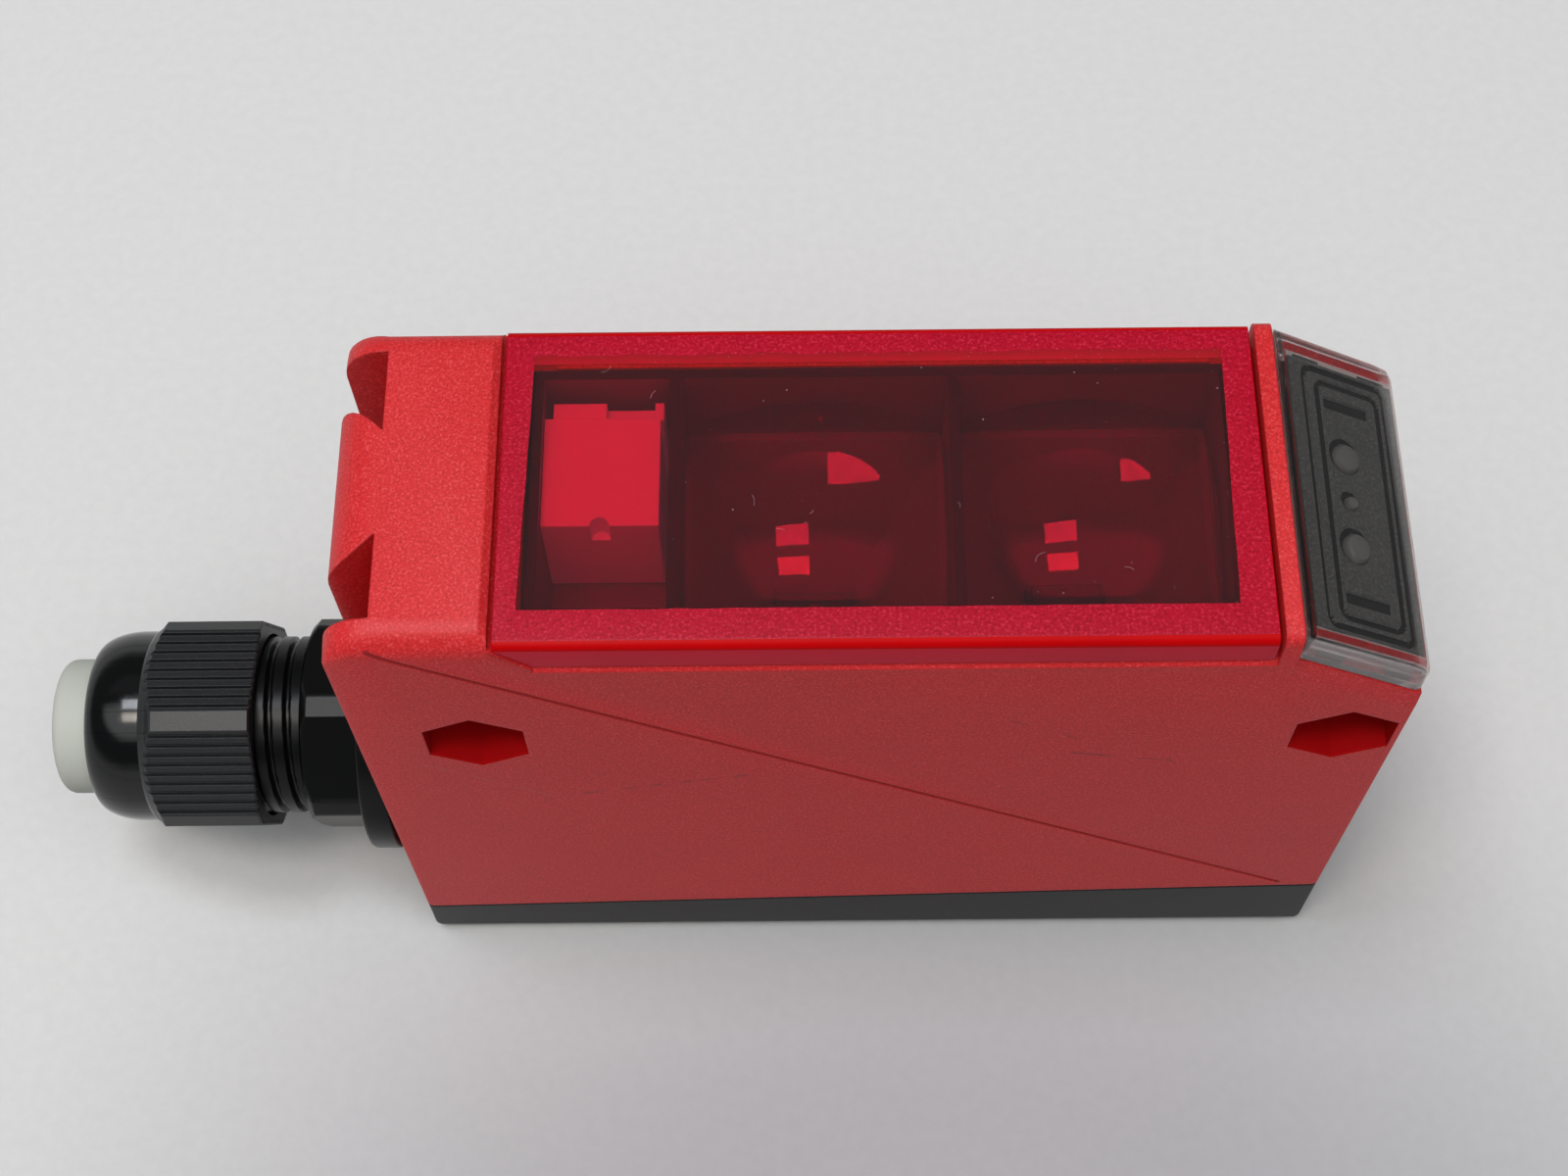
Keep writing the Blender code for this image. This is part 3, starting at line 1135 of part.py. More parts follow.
    cage_end = dome_start + 0.3 * MM
    cage_profile = [
        (INSERT_RADIUS + GAP, NECK_END + GAP), (cage_radius, NECK_END + GAP),
        (cage_radius, cage_end), (INSERT_RADIUS + GAP, cage_end),
    ]
    cage = place("gland_cage", turned("cage", cage_profile), finish("cage_plastic", "#2a2c2e", 0.45), axis)
    for i in range(CAGE_SLOTS // 2):
        slot = block(
            "slot", -cage_radius - OVERSHOOT, cage_radius + OVERSHOOT, -CAGE_SLOT / 2, CAGE_SLOT / 2,
            NECK_END + GAP + 2.0 * MM, cage_end + OVERSHOOT,
        )
        turn = (0, 0, 2 * pi * (i + 0.5) / CAGE_SLOTS)
        cut(cage, tool(f"cage_slot_{i + 1}", slot, axis, (0, 0, 0), turn))
    shaded(cage)

    insert = [(INSERT_BORE, NECK_END + GAP), (INSERT_RADIUS, NECK_END + GAP)]
    insert += arc((INSERT_RADIUS - 0.8 * MM, INSERT_OUT - 0.8 * MM), 0.8 * MM, 0, 1, 3)
    insert += [(INSERT_BORE, INSERT_OUT)]
    shaded(place("gland_insert", turned("insert", insert), finish("grey_sealing_insert", "#c3c8c1", 0.6), axis))


def main():
    """Build every piece of the sensor."""
    for item in list(bpy.data.objects):
        bpy.data.objects.remove(item)
    build_housing()
    build_optics_cover()
    build_optics_carrier()
    _, emitter, receiver = bay_bounds()
    build_lens("emitter_lens", emitter, finish("emitter_lens_acrylic", "#e8e4e2", 0.05, 0, 0.95))
    build_lens("receiver_lens", receiver, finish("receiver_lens_acrylic", "#e8e4e2", 0.05, 0, 0.95))
    build_guide()
    build_diodes()
    build_boards()
    build_terminals()
    build_indicator()
    build_back_cover()
    build_gland()


main()
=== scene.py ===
"""Finishes, fine surface pieces, floor, light and camera for a reflective optical sensor.

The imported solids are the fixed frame. Each sub-assembly below replaces the solids whose
surface is open to view by a smooth piece in the same place, and gives every other solid
its finish. All lengths in the classes are in millimetres and become metres at one place.
"""

import json
import logging
import random
from collections.abc import Iterable
from dataclasses import dataclass
from enum import Enum
from math import atan2, cos, hypot, pi, radians, sin, sqrt, tan

import bmesh
import bpy
from mathutils import Matrix, Vector

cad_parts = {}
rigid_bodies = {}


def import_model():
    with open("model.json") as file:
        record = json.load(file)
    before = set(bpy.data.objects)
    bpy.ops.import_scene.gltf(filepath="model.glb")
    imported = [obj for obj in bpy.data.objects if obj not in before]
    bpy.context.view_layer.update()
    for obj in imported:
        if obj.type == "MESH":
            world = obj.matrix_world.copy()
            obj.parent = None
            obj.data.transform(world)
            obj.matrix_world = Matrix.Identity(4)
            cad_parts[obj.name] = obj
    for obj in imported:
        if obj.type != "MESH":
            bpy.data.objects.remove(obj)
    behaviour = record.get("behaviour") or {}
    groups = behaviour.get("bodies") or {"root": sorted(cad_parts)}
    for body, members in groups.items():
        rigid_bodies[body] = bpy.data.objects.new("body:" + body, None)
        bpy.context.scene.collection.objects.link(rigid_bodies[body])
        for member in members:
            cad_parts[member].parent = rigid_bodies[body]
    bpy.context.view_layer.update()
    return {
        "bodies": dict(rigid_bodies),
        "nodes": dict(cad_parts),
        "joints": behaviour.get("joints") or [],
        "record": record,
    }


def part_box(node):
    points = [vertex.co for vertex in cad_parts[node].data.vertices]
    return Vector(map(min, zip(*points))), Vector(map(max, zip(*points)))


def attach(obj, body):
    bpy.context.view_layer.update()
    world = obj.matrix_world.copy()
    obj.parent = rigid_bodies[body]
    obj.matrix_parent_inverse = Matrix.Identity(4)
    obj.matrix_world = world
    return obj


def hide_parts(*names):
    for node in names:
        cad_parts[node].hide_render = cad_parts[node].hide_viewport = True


MM = 0.001
LOG = logging.getLogger("sensor")
Point = tuple[float, float]
Place = tuple[float, float, float]
Colour = tuple[float, float, float, float]
Row = tuple[float, float | list[float]]

# Heights of the grain at which the painted highlights on its peaks and the painted shade in its pits start to
# show and are full.
PEAKS: Point = (0.54, 0.68)
PITS: Point = (0.46, 0.34)
# What the painted shade in a pit keeps of the plastic's own brightness, and how far roughness follows the
# grain.
PIT_SHADE = 0.4
ROUGHNESS_SPREAD = 0.06
# Distance from the sensor's middle, in mm, at which a mark on its long sides starts and is full.
SIDE_SKIN: Point = (14.3, 14.6)
# Heights of the noise between which a scuff breaks off, and the size of its breaks in mm.
SCUFF_BREAKS: Point = (0.42, 0.58)
SCUFF_BREAK_SIZE = 2.5
# Width in mm of the sloping side of a groove in the indicator panel.
BRINK = 0.12
# Lengths in metres below which two places count as the same.
SAME_PLACE = 1e-6


class Way(Enum):
    """The two long sides of the sensor: near the camera and away from it."""

    NEAR = -1
    FAR = 1


class Grain(Enum):
    """How a mould's surface was made: size of its texture and its depth, in mm."""

    SPARK_ERODED = (0.22, 0.012)
    COARSE_ERODED = (0.26, 0.026)
    FINE_ERODED = (0.20, 0.010)
    SATIN = (0.12, 0.003)
    POLISHED = (0.60, 0.0004)


def linear(colour: str) -> Colour:
    """Turn an sRGB hex colour into linear values.

    Args:
        colour: The colour as "#rrggbb".

    Returns:
        Red, green, blue and an alpha of one.
    """
    channels = [int(colour[i : i + 2], 16) / 255 for i in (1, 3, 5)]
    values = [c / 12.92 if c <= 0.04045 else ((c + 0.055) / 1.055) ** 2.4 for c in channels]
    return (values[0], values[1], values[2], 1.0)


def add_node(
    tree: bpy.types.NodeTree,
    kind: str,
    settings: dict[str | int, object] | None = None,
    links: dict[str | int, bpy.types.NodeSocket] | None = None,
) -> bpy.types.Node:
    """Add a node with its settings and its links.

    Args:
        tree: The node tree that gets the node.
        kind: The node's type, such as "ShaderNodeTexNoise".
        settings: Values by input name or index, or by the node's own attribute.
        links: Output sockets to connect, by input name or index.

    Returns:
        The new node.
    """
    node = tree.nodes.new(kind)
    for key, value in (settings or {}).items():
        if isinstance(key, str) and hasattr(node, key):
            setattr(node, key, value)
        else:
            node.inputs[key].default_value = value
    for key, socket in (links or {}).items():
        tree.links.new(socket, node.inputs[key])
    return node


def per_metre(size: float) -> float:
    """Texture scale whose features are about size mm wide."""
    return 1.0 / (size * MM)


@dataclass(frozen=True)
class Finish:
    """What all finishes share: name, colour and roughness."""

    name: str
    colour: str
    roughness: float = 0.5

    def start(self) -> tuple[bpy.types.Material, bpy.types.NodeTree, bpy.types.Node, bpy.types.NodeSocket]:
        """Make the material with its shader and the place on the surface.

        Returns:
            The material, its tree, the Principled shader and the object coordinates.
        """
        material = bpy.data.materials.new(self.name)
        material.use_nodes = True
        tree = material.node_tree
        shader = tree.nodes["Principled BSDF"]
        shader.inputs["Base Color"].default_value = linear(self.colour)
        shader.inputs["Roughness"].default_value = self.roughness
        material.diffuse_color = linear(self.colour)
        place = add_node(tree, "ShaderNodeTexCoord").outputs["Object"]
        return material, tree, shader, place

    def material(self) -> bpy.types.Material:
        """The finish as a Blender material."""
        return self.start()[0]


@dataclass(frozen=True)
class Mark:
    """A line on the long side faces, between two points (x, z) in mm.

    It is a rubbed scuff on the near face alone, or painted shade along a groove on both faces.
    """

    start: Point
    end: Point
    width: float
    strength: float
    colour: str
    groove: bool = False


@dataclass(frozen=True)
class MouldedPlastic(Finish):
    """Injection-moulded thermoplastic: dyed through, with the texture of its mould."""

    grain: Grain = Grain.SATIN
    cloud: float = 0.05
    cloud_size: float = 9.0
    # How much painted highlight the grain's peaks get and its colour, and how much painted shade its pits
    # get.
    dust_speck_and_grain_highlight: float = 0.0
    grain_highlight_colour: str = "#ffffff"
    pit: float = 0.0
    edge: float = 0.15
    shine: float = 0.5
    glow: float = 0.0
    marks: tuple[Mark, ...] = ()

    def material(self) -> bpy.types.Material:
        """Dyed plastic: slight clouds of colour, fine grain with painted highlights on its peaks and painted
        shade in its pits, and softened edges.
        """
        material, tree, shader, place = self.start()
        shader.inputs["Specular IOR Level"].default_value = self.shine
        shader.inputs["Emission Color"].default_value = linear(self.colour)
        shader.inputs["Emission Strength"].default_value = self.glow
        size, depth = self.grain.value
        clouds = add_node(
            tree, "ShaderNodeTexNoise",
            {"Scale": per_metre(self.cloud_size), "Detail": 3.0, "Roughness": 0.6}, {"Vector": place},
        )
        base = linear(self.colour)
        low = tuple(c * (1 - self.cloud) for c in base[:3]) + (1.0,)
        high = tuple(min(1.0, c * (1 + self.cloud)) for c in base[:3]) + (1.0,)
        colour = add_node(
            tree, "ShaderNodeMix",
            {"data_type": "RGBA", 6: low, 7: high}, {0: clouds.outputs["Fac"]},
        ).outputs[2]
        grain = add_node(
            tree, "ShaderNodeTexNoise",
            {"Scale": per_metre(size), "Detail": 2.0, "Roughness": 0.55}, {"Vector": place},
        ).outputs["Fac"]
        # Painted highlights on the grain's peaks and painted shade in its pits.
        if self.dust_speck_and_grain_highlight > 0:
            colour = self.paint_grain_light(tree, colour, grain, PEAKS, self.dust_speck_and_grain_highlight, linear(self.grain_highlight_colour))
        if self.pit > 0:
            dark = tuple(c * PIT_SHADE for c in base[:3]) + (1.0,)
            colour = self.paint_grain_light(tree, colour, grain, PITS, self.pit, dark)
        for mark in self.marks:
            colour = self.draw(tree, place, colour, mark)
        tree.links.new(colour, shader.inputs["Base Color"])
        rough = add_node(
            tree, "ShaderNodeMapRange",
            {"To Min": self.roughness - ROUGHNESS_SPREAD, "To Max": self.roughness + ROUGHNESS_SPREAD},
            {"Value": grain},
        ).outputs[0]
        tree.links.new(rough, shader.inputs["Roughness"])
        soft = add_node(tree, "ShaderNodeBevel", {"samples": 4, "Radius": self.edge * MM})
        bump = add_node(
            tree, "ShaderNodeBump", {"Strength": 1.0, "Distance": depth * MM},
            {"Height": grain, "Normal": soft.outputs[0]},
        )
        tree.links.new(bump.outputs[0], shader.inputs["Normal"])
        return material

    def paint_grain_light(
        self,
        tree: bpy.types.NodeTree,
        colour: bpy.types.NodeSocket,
        grain: bpy.types.NodeSocket,
        limits: Point,
        most: float,
        spot: Colour,
    ) -> bpy.types.NodeSocket:
        """Paint a highlight on the grain's peaks, or painted shade in its pits, whichever the limits pick.

        Args:
            tree: The material's node tree.
            colour: The colour so far.
            grain: The height of the grain.
            limits: Heights at which the spots start and are full.
            most: How much of the spot's colour shows at most.
            spot: The colour of the spots.

        Returns:
            The colour with the spots on it.
        """
        share = add_node(
            tree, "ShaderNodeMapRange",
            {"From Min": limits[0], "From Max": limits[1], "To Max": most}, {"Value": grain},
        ).outputs[0]
        return add_node(
            tree, "ShaderNodeMix", {"data_type": "RGBA", 7: spot}, {0: share, 6: colour},
        ).outputs[2]

    def draw(
        self,
        tree: bpy.types.NodeTree,
        place: bpy.types.NodeSocket,
        colour: bpy.types.NodeSocket,
        mark: Mark,
    ) -> bpy.types.NodeSocket:
        """Colour the surface along a line on the long sides.

        Args:
            tree: The material's node tree.
            place: The object coordinates.
            colour: The colour so far.
            mark: The line, its width, strength and colour.

        Returns:
            The colour with the line on it.
        """
        start = Vector((mark.start[0], 0.0, mark.start[1])) * MM
        run = Vector((mark.end[0], 0.0, mark.end[1])) * MM - start
        flat = add_node(
            tree, "ShaderNodeVectorMath", {"operation": "MULTIPLY", 1: (1.0, 0.0, 1.0)}, {0: place},
        ).outputs[0]
        off = add_node(
            tree, "ShaderNodeVectorMath", {"operation": "SUBTRACT", 1: start}, {0: flat},
        ).outputs[0]
        along = add_node(
            tree, "ShaderNodeVectorMath", {"operation": "DOT_PRODUCT", 1: run / run.length_squared}, {0: off},
        ).outputs["Value"]
        held = add_node(tree, "ShaderNodeClamp", {}, {"Value": along}).outputs[0]
        foot = add_node(
            tree, "ShaderNodeVectorMath", {"operation": "SCALE", 0: run}, {"Scale": held},
        ).outputs[0]
        gap = add_node(
            tree, "ShaderNodeVectorMath", {"operation": "DISTANCE"}, {0: off, 1: foot},
        ).outputs["Value"]
        core = mark.width * 0.6 if mark.groove else 0.0
        share = add_node(
            tree, "ShaderNodeMapRange",
            {"From Min": mark.width * MM, "From Max": core * MM, "To Min": 0.0, "To Max": mark.strength},
            {"Value": gap},
        ).outputs[0]
        across = add_node(tree, "ShaderNodeSeparateXYZ", {}, {0: place}).outputs[1]
        # A groove's line is painted shade on both long sides; a scuff is wear on the near side alone.
        if mark.groove:
            across = add_node(tree, "ShaderNodeMath", {"operation": "ABSOLUTE"}, {0: across}).outputs[0]
        else:
            across = add_node(
                tree, "ShaderNodeMath", {"operation": "MULTIPLY", 1: -1.0}, {0: across},
            ).outputs[0]
            waver = add_node(
                tree, "ShaderNodeTexNoise",
                {"Scale": per_metre(SCUFF_BREAK_SIZE), "Detail": 4.0}, {"Vector": place},
            ).outputs["Fac"]
            broken = add_node(
                tree, "ShaderNodeMapRange",
                {"From Min": SCUFF_BREAKS[0], "From Max": SCUFF_BREAKS[1]}, {"Value": waver},
            ).outputs[0]
            share = add_node(
                tree, "ShaderNodeMath", {"operation": "MULTIPLY"}, {0: share, 1: broken},
            ).outputs[0]
        outside = add_node(
            tree, "ShaderNodeMapRange",
            {"From Min": SIDE_SKIN[0] * MM, "From Max": SIDE_SKIN[1] * MM}, {"Value": across},
        ).outputs[0]
        share = add_node(
            tree, "ShaderNodeMath", {"operation": "MULTIPLY"}, {0: share, 1: outside},
        ).outputs[0]
        return add_node(
            tree, "ShaderNodeMix", {"data_type": "RGBA", 7: linear(mark.colour)}, {0: share, 6: colour},
        ).outputs[2]


@dataclass(frozen=True)
class ClearPlastic(Finish):
    """Transparent moulding, clear or dyed: light goes through and is tinted.

    Up to the roughness that counts as smooth, it is the same all over the surface.
    """

    ior: float = 1.49
    clearness: float = 1.0
    grain: Grain = Grain.POLISHED
    edge: float = 0.15
    coat: float = 0.0
    smooth: float = 0.1

    def material(self) -> bpy.types.Material:
        """Transparent plastic: polished or textured, with a slight waviness."""
        material, tree, shader, place = self.start()
        size, depth = self.grain.value
        shader.inputs["IOR"].default_value = self.ior
        shader.inputs["Transmission Weight"].default_value = self.clearness
        shader.inputs["Coat Weight"].default_value = self.coat
        grain = add_node(
            tree, "ShaderNodeTexNoise",
            {"Scale": per_metre(size), "Detail": 2.0, "Roughness": 0.5}, {"Vector": place},
        ).outputs["Fac"]
        if self.roughness > self.smooth:
            rough = add_node(
                tree, "ShaderNodeMapRange",
                {"To Min": self.roughness - 0.05, "To Max": self.roughness + 0.05}, {"Value": grain},
            ).outputs[0]
            tree.links.new(rough, shader.inputs["Roughness"])
        soft = add_node(tree, "ShaderNodeBevel", {"samples": 4, "Radius": self.edge * MM})
        bump = add_node(
            tree, "ShaderNodeBump", {"Strength": 1.0, "Distance": depth * MM},
            {"Height": grain, "Normal": soft.outputs[0]},
        )
        tree.links.new(bump.outputs[0], shader.inputs["Normal"])
        return material


@dataclass(frozen=True)
class PaintedTable(Finish):
    """Matt painted table top, with a painted shadow: a wide soft grey patch in front of the sensor.

    It shows pale to the eye and in gloss and glass. Towards the sides of the sensor it
    gives back less light, as a table that other things shade does. The painted shadow's
    middle and its fade, from its outer edge to its full grey, are in mm.
    """

    # Colour of the painted shadow at its darkest.
    shade: str = "#b7b9bc"
    bounce: str = "#898988"
    shadow_middle: Point = (10.0, -65.0)
    shadow_flattening: float = 1.3
    shadow_fade: Point = (120.0, 35.0)

    def material(self) -> bpy.types.Material:
        """Matt paint with a painted soft shadow and a hardly visible grain."""
        material, tree, shader, place = self.start()
        shader.inputs["Specular IOR Level"].default_value = 0.15
        grain = add_node(
            tree, "ShaderNodeTexNoise",
            {"Scale": per_metre(1.4), "Detail": 4.0, "Roughness": 0.6}, {"Vector": place},
        ).outputs["Fac"]
        x, y = self.shadow_middle
        off = add_node(
            tree, "ShaderNodeVectorMath", {"operation": "SUBTRACT", 1: (x * MM, y * MM, 0.0)}, {0: place},
        ).outputs[0]
        off = add_node(
            tree, "ShaderNodeVectorMath",
            {"operation": "MULTIPLY", 1: (1.0, self.shadow_flattening, 0.0)}, {0: off},
        ).outputs[0]
        reach = add_node(tree, "ShaderNodeVectorMath", {"operation": "LENGTH"}, {0: off}).outputs["Value"]
        outer, inner = self.shadow_fade
        run = add_node(
            tree, "ShaderNodeMapRange",
            {"interpolation_type": "SMOOTHSTEP", "From Min": outer * MM, "From Max": inner * MM},
            {"Value": reach},
        ).outputs[0]
        # The grey patch is a painted shadow in front of the sensor.
        paint = add_node(
            tree, "ShaderNodeMix",
            {"data_type": "RGBA", 6: linear(self.colour), 7: linear(self.shade)}, {0: run},
        ).outputs[2]
        tone = add_node(
            tree, "ShaderNodeMapRange",
            {"From Min": 0.35, "From Max": 0.65, "To Min": 0.965, "To Max": 1.0}, {"Value": grain},
        ).outputs[0]
        paint = add_node(
            tree, "ShaderNodeVectorMath", {"operation": "SCALE"}, {0: paint, "Scale": tone},
        ).outputs[0]
        seen = shown_rays(tree)
        colour = add_node(
            tree, "ShaderNodeMix", {"data_type": "RGBA", 6: linear(self.bounce)}, {0: seen, 7: paint},
        ).outputs[2]
        tree.links.new(colour, shader.inputs["Base Color"])
        bump = add_node(tree, "ShaderNodeBump", {"Strength": 0.5, "Distance": 0.02 * MM}, {"Height": grain})
        tree.links.new(bump.outputs[0], shader.inputs["Normal"])
        return material


def shown_rays(tree: bpy.types.NodeTree) -> bpy.types.NodeSocket:
    """One for rays that show a surface to the eye, directly, in gloss or through glass."""
    path = add_node(tree, "ShaderNodeLightPath")
    shown = path.outputs["Is Camera Ray"]
    for ray in ("Is Glossy Ray", "Is Transmission Ray"):
        shown = add_node(
            tree, "ShaderNodeMath", {"operation": "MAXIMUM"}, {0: shown, 1: path.outputs[ray]},
        ).outputs[0]
    return shown


@dataclass(frozen=True)
class PlatedSteel(Finish):
    """Steel or aluminium, turned or drawn, with fine tool marks."""

    mark: float = 0.18

    def material(self) -> bpy.types.Material:
        """Metal with streaks of roughness left by the tool."""
        material, tree, shader, place = self.start()
        shader.inputs["Metallic"].default_value = 1.0
        stretched = add_node(
            tree, "ShaderNodeMapping", {"Scale": (1.0, 1.0, 0.12)}, {"Vector": place},
        ).outputs[0]
        marks = add_node(
            tree, "ShaderNodeTexNoise", {"Scale": per_metre(self.mark), "Detail": 3.0}, {"Vector": stretched},
        ).outputs["Fac"]
        rough = add_node(
            tree, "ShaderNodeMapRange",
            {"To Min": self.roughness - 0.08, "To Max": self.roughness + 0.1}, {"Value": marks},
        ).outputs[0]
        tree.links.new(rough, shader.inputs["Roughness"])
        bump = add_node(
            tree, "ShaderNodeBump", {"Strength": 0.6, "Distance": 0.004 * MM}, {"Height": marks},
        )
        tree.links.new(bump.outputs[0], shader.inputs["Normal"])
        return material


@dataclass(frozen=True)
class Laminate(Finish):
    """Glass-cloth laminate under solder mask: the weave shows faintly through the lacquer.

    The wave texture's own scale counts in turns of about two pi.
    """

    weave: float = 0.5
    wave_turn: float = 6.3

    def material(self) -> bpy.types.Material:
        """Lacquered laminate with the faint squares of its cloth."""
        material, tree, shader, place = self.start()
        warp, weft = (
            add_node(
                tree, "ShaderNodeTexWave",
                {
                    "wave_type": "BANDS", "bands_direction": direction,
                    "Scale": per_metre(self.weave) / self.wave_turn, "Distortion": 0.4,
                },
                {"Vector": place},
            ).outputs["Fac"]
            for direction in ("X", "Y")
        )
        cloth = add_node(tree, "ShaderNodeMath", {"operation": "MULTIPLY"}, {0: warp, 1: weft}).outputs[0]
        base = linear(self.colour)
        dark = tuple(c * 0.8 for c in base[:3]) + (1.0,)
        colour = add_node(
            tree, "ShaderNodeMix", {"data_type": "RGBA", 6: dark, 7: base}, {0: cloth},
        ).outputs[2]
        tree.links.new(colour, shader.inputs["Base Color"])
        bump = add_node(tree, "ShaderNodeBump", {"Distance": 0.01 * MM}, {"Height": cloth})
        tree.links.new(bump.outputs[0], shader.inputs["Normal"])
        return material


def mesh_from(bm: bmesh.types.BMesh, name: str, sharp: float = 35.0) -> bpy.types.Mesh:
    """Turn a bmesh into a smooth mesh with sharp corners.

    Args:
        bm: The bmesh, which is freed.
        name: The mesh's name.
        sharp: Edges that bend by more than this many degrees stay sharp.

    Returns:
        The mesh, its faces pointing out.
    """
    bmesh.ops.remove_doubles(bm, verts=bm.verts, dist=1e-7)
    bmesh.ops.recalc_face_normals(bm, faces=bm.faces)
    mesh = bpy.data.meshes.new(name)
    bm.to_mesh(mesh)
    bm.free()
    mesh.shade_smooth()
    mesh.set_sharp_from_angle(angle=radians(sharp))
    return mesh


def corners(bm: bmesh.types.BMesh, places: Iterable[Place]) -> list[bmesh.types.BMVert]:
    """Add corners at places (x, y, z) in mm, and return them in order."""
    return [bm.verts.new((x * MM, y * MM, z * MM)) for x, y, z in places]


def band(
    bm: bmesh.types.BMesh, lower: list[bmesh.types.BMVert], upper: list[bmesh.types.BMVert],
) -> list[bmesh.types.BMFace]:
    """Join two closed rings of corners by a band of faces.

    Args:
        bm: The bmesh that gets it.
        lower: The corners of the first ring, in order.
        upper: The corners of the second ring, as many and in the same order.

    Returns:
        The faces, in the order of the corners that they start at.
    """
    faces = []
    for i in range(len(lower)):
        j = (i + 1) % len(lower)
        faces.append(bm.faces.new((lower[i], lower[j], upper[j], upper[i])))
    return faces


def second_skin(bm: bmesh.types.BMesh) -> list[bmesh.types.BMVert]:
    """Close an open sheet by a second skin on the same places, and return its corners."""
    doubled = bmesh.ops.extrude_face_region(bm, geom=bm.faces[:])
    return [item for item in doubled["geom"] if isinstance(item, bmesh.types.BMVert)]


def linked(name: str, data: bpy.types.ID) -> bpy.types.Object:
    """Make an object of a mesh, lamp or camera and link it to the scene."""
    item = bpy.data.objects.new(name, data)
    bpy.context.scene.collection.objects.link(item)
    return item


def put(
    name: str,
    mesh: bpy.types.Mesh,
    materials: list[bpy.types.Material],
    slot: str,
    nodes: tuple[str, ...] = (),
    matrix: Matrix | None = None,
) -> bpy.types.Object:
    """Place a piece on the sensor's body.

    Args:
        name: The piece's name.
        mesh: Its mesh.
        materials: Its materials, in the order of the mesh's material indices.
        slot: The record's slot of the solids it stands for, which is only logged.
        nodes: The solids that the piece stands for.
        matrix: Where the mesh's own frame lies, if not at the origin.

    Returns:
        The piece.
    """
    piece = linked(name, mesh)
    for material in materials:
        mesh.materials.append(material)
    if matrix is not None:
        piece.matrix_world = matrix
    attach(piece, "root")
    if nodes:
        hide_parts(*nodes)
    LOG.info("%s: %d faces, %s", name, len(mesh.polygons), slot)
    return piece


def carved(body: bpy.types.Object, tool: bpy.types.Object, sharp: float) -> bpy.types.Mesh:
    """Cut one object out of another; both objects go, and the mesh that is left comes back.

    Args:
        body: The object that is cut.
        tool: The object that is cut out of it.
        sharp: Edges that bend by more than this many degrees stay sharp.

    Returns:
        The mesh of the cut body.
    """
    carve = body.modifiers.new("hollow", "BOOLEAN")
    carve.operation = "DIFFERENCE"
    carve.solver = "EXACT"
    carve.object = tool
    graph = bpy.context.evaluated_depsgraph_get()
    result = bpy.data.meshes.new_from_object(body.evaluated_get(graph))
    bpy.data.objects.remove(tool)
    bpy.data.objects.remove(body)
    result.shade_smooth()
    result.set_sharp_from_angle(angle=radians(sharp))
    return result


@dataclass
class Assembly:
    """What all sub-assemblies share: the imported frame."""

    frame: dict

    def welded(self, node: str, name: str, sharp: float = 35.0) -> bpy.types.Mesh:
        """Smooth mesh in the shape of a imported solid.

        Args:
            node: The solid's node.
            name: The new mesh's name.
            sharp: Edges that bend by more than this many degrees stay sharp.

        Returns:
            A mesh with joined corners.
        """
        source = self.frame["nodes"][node].data
        bm = bmesh.new()
        rows = [bm.verts.new(vert.co) for vert in source.vertices]
        for face in source.polygons:
            bm.faces.new([rows[i] for i in face.vertices])
        bmesh.ops.remove_doubles(bm, verts=bm.verts, dist=2e-6)
        bmesh.ops.dissolve_limit(
            bm, angle_limit=radians(0.5), verts=bm.verts, edges=bm.edges, use_dissolve_boundaries=False,
        )
        return mesh_from(bm, name, sharp)

    def skin(self, node: str, name: str, finish: Finish, sharp: float = 35.0) -> bpy.types.Object:
        """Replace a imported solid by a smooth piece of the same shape."""
        slot = self.slot_of(node)
        return put(name, self.welded(node, name, sharp), [finish.material()], slot, (node,))

    def dress_node(self, node: str, material: bpy.types.Material) -> None:
        """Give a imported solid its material."""
        self.frame["nodes"][node].material_slots[0].material = material
        LOG.info("%s: %s", node, material.name)

    def slot_of(self, node: str) -> str:
        """The record's material slot of a node."""
        for part in self.frame["record"]["subparts"]:
            if part["node"] == node:
                return part["material_slot"]
        return ""


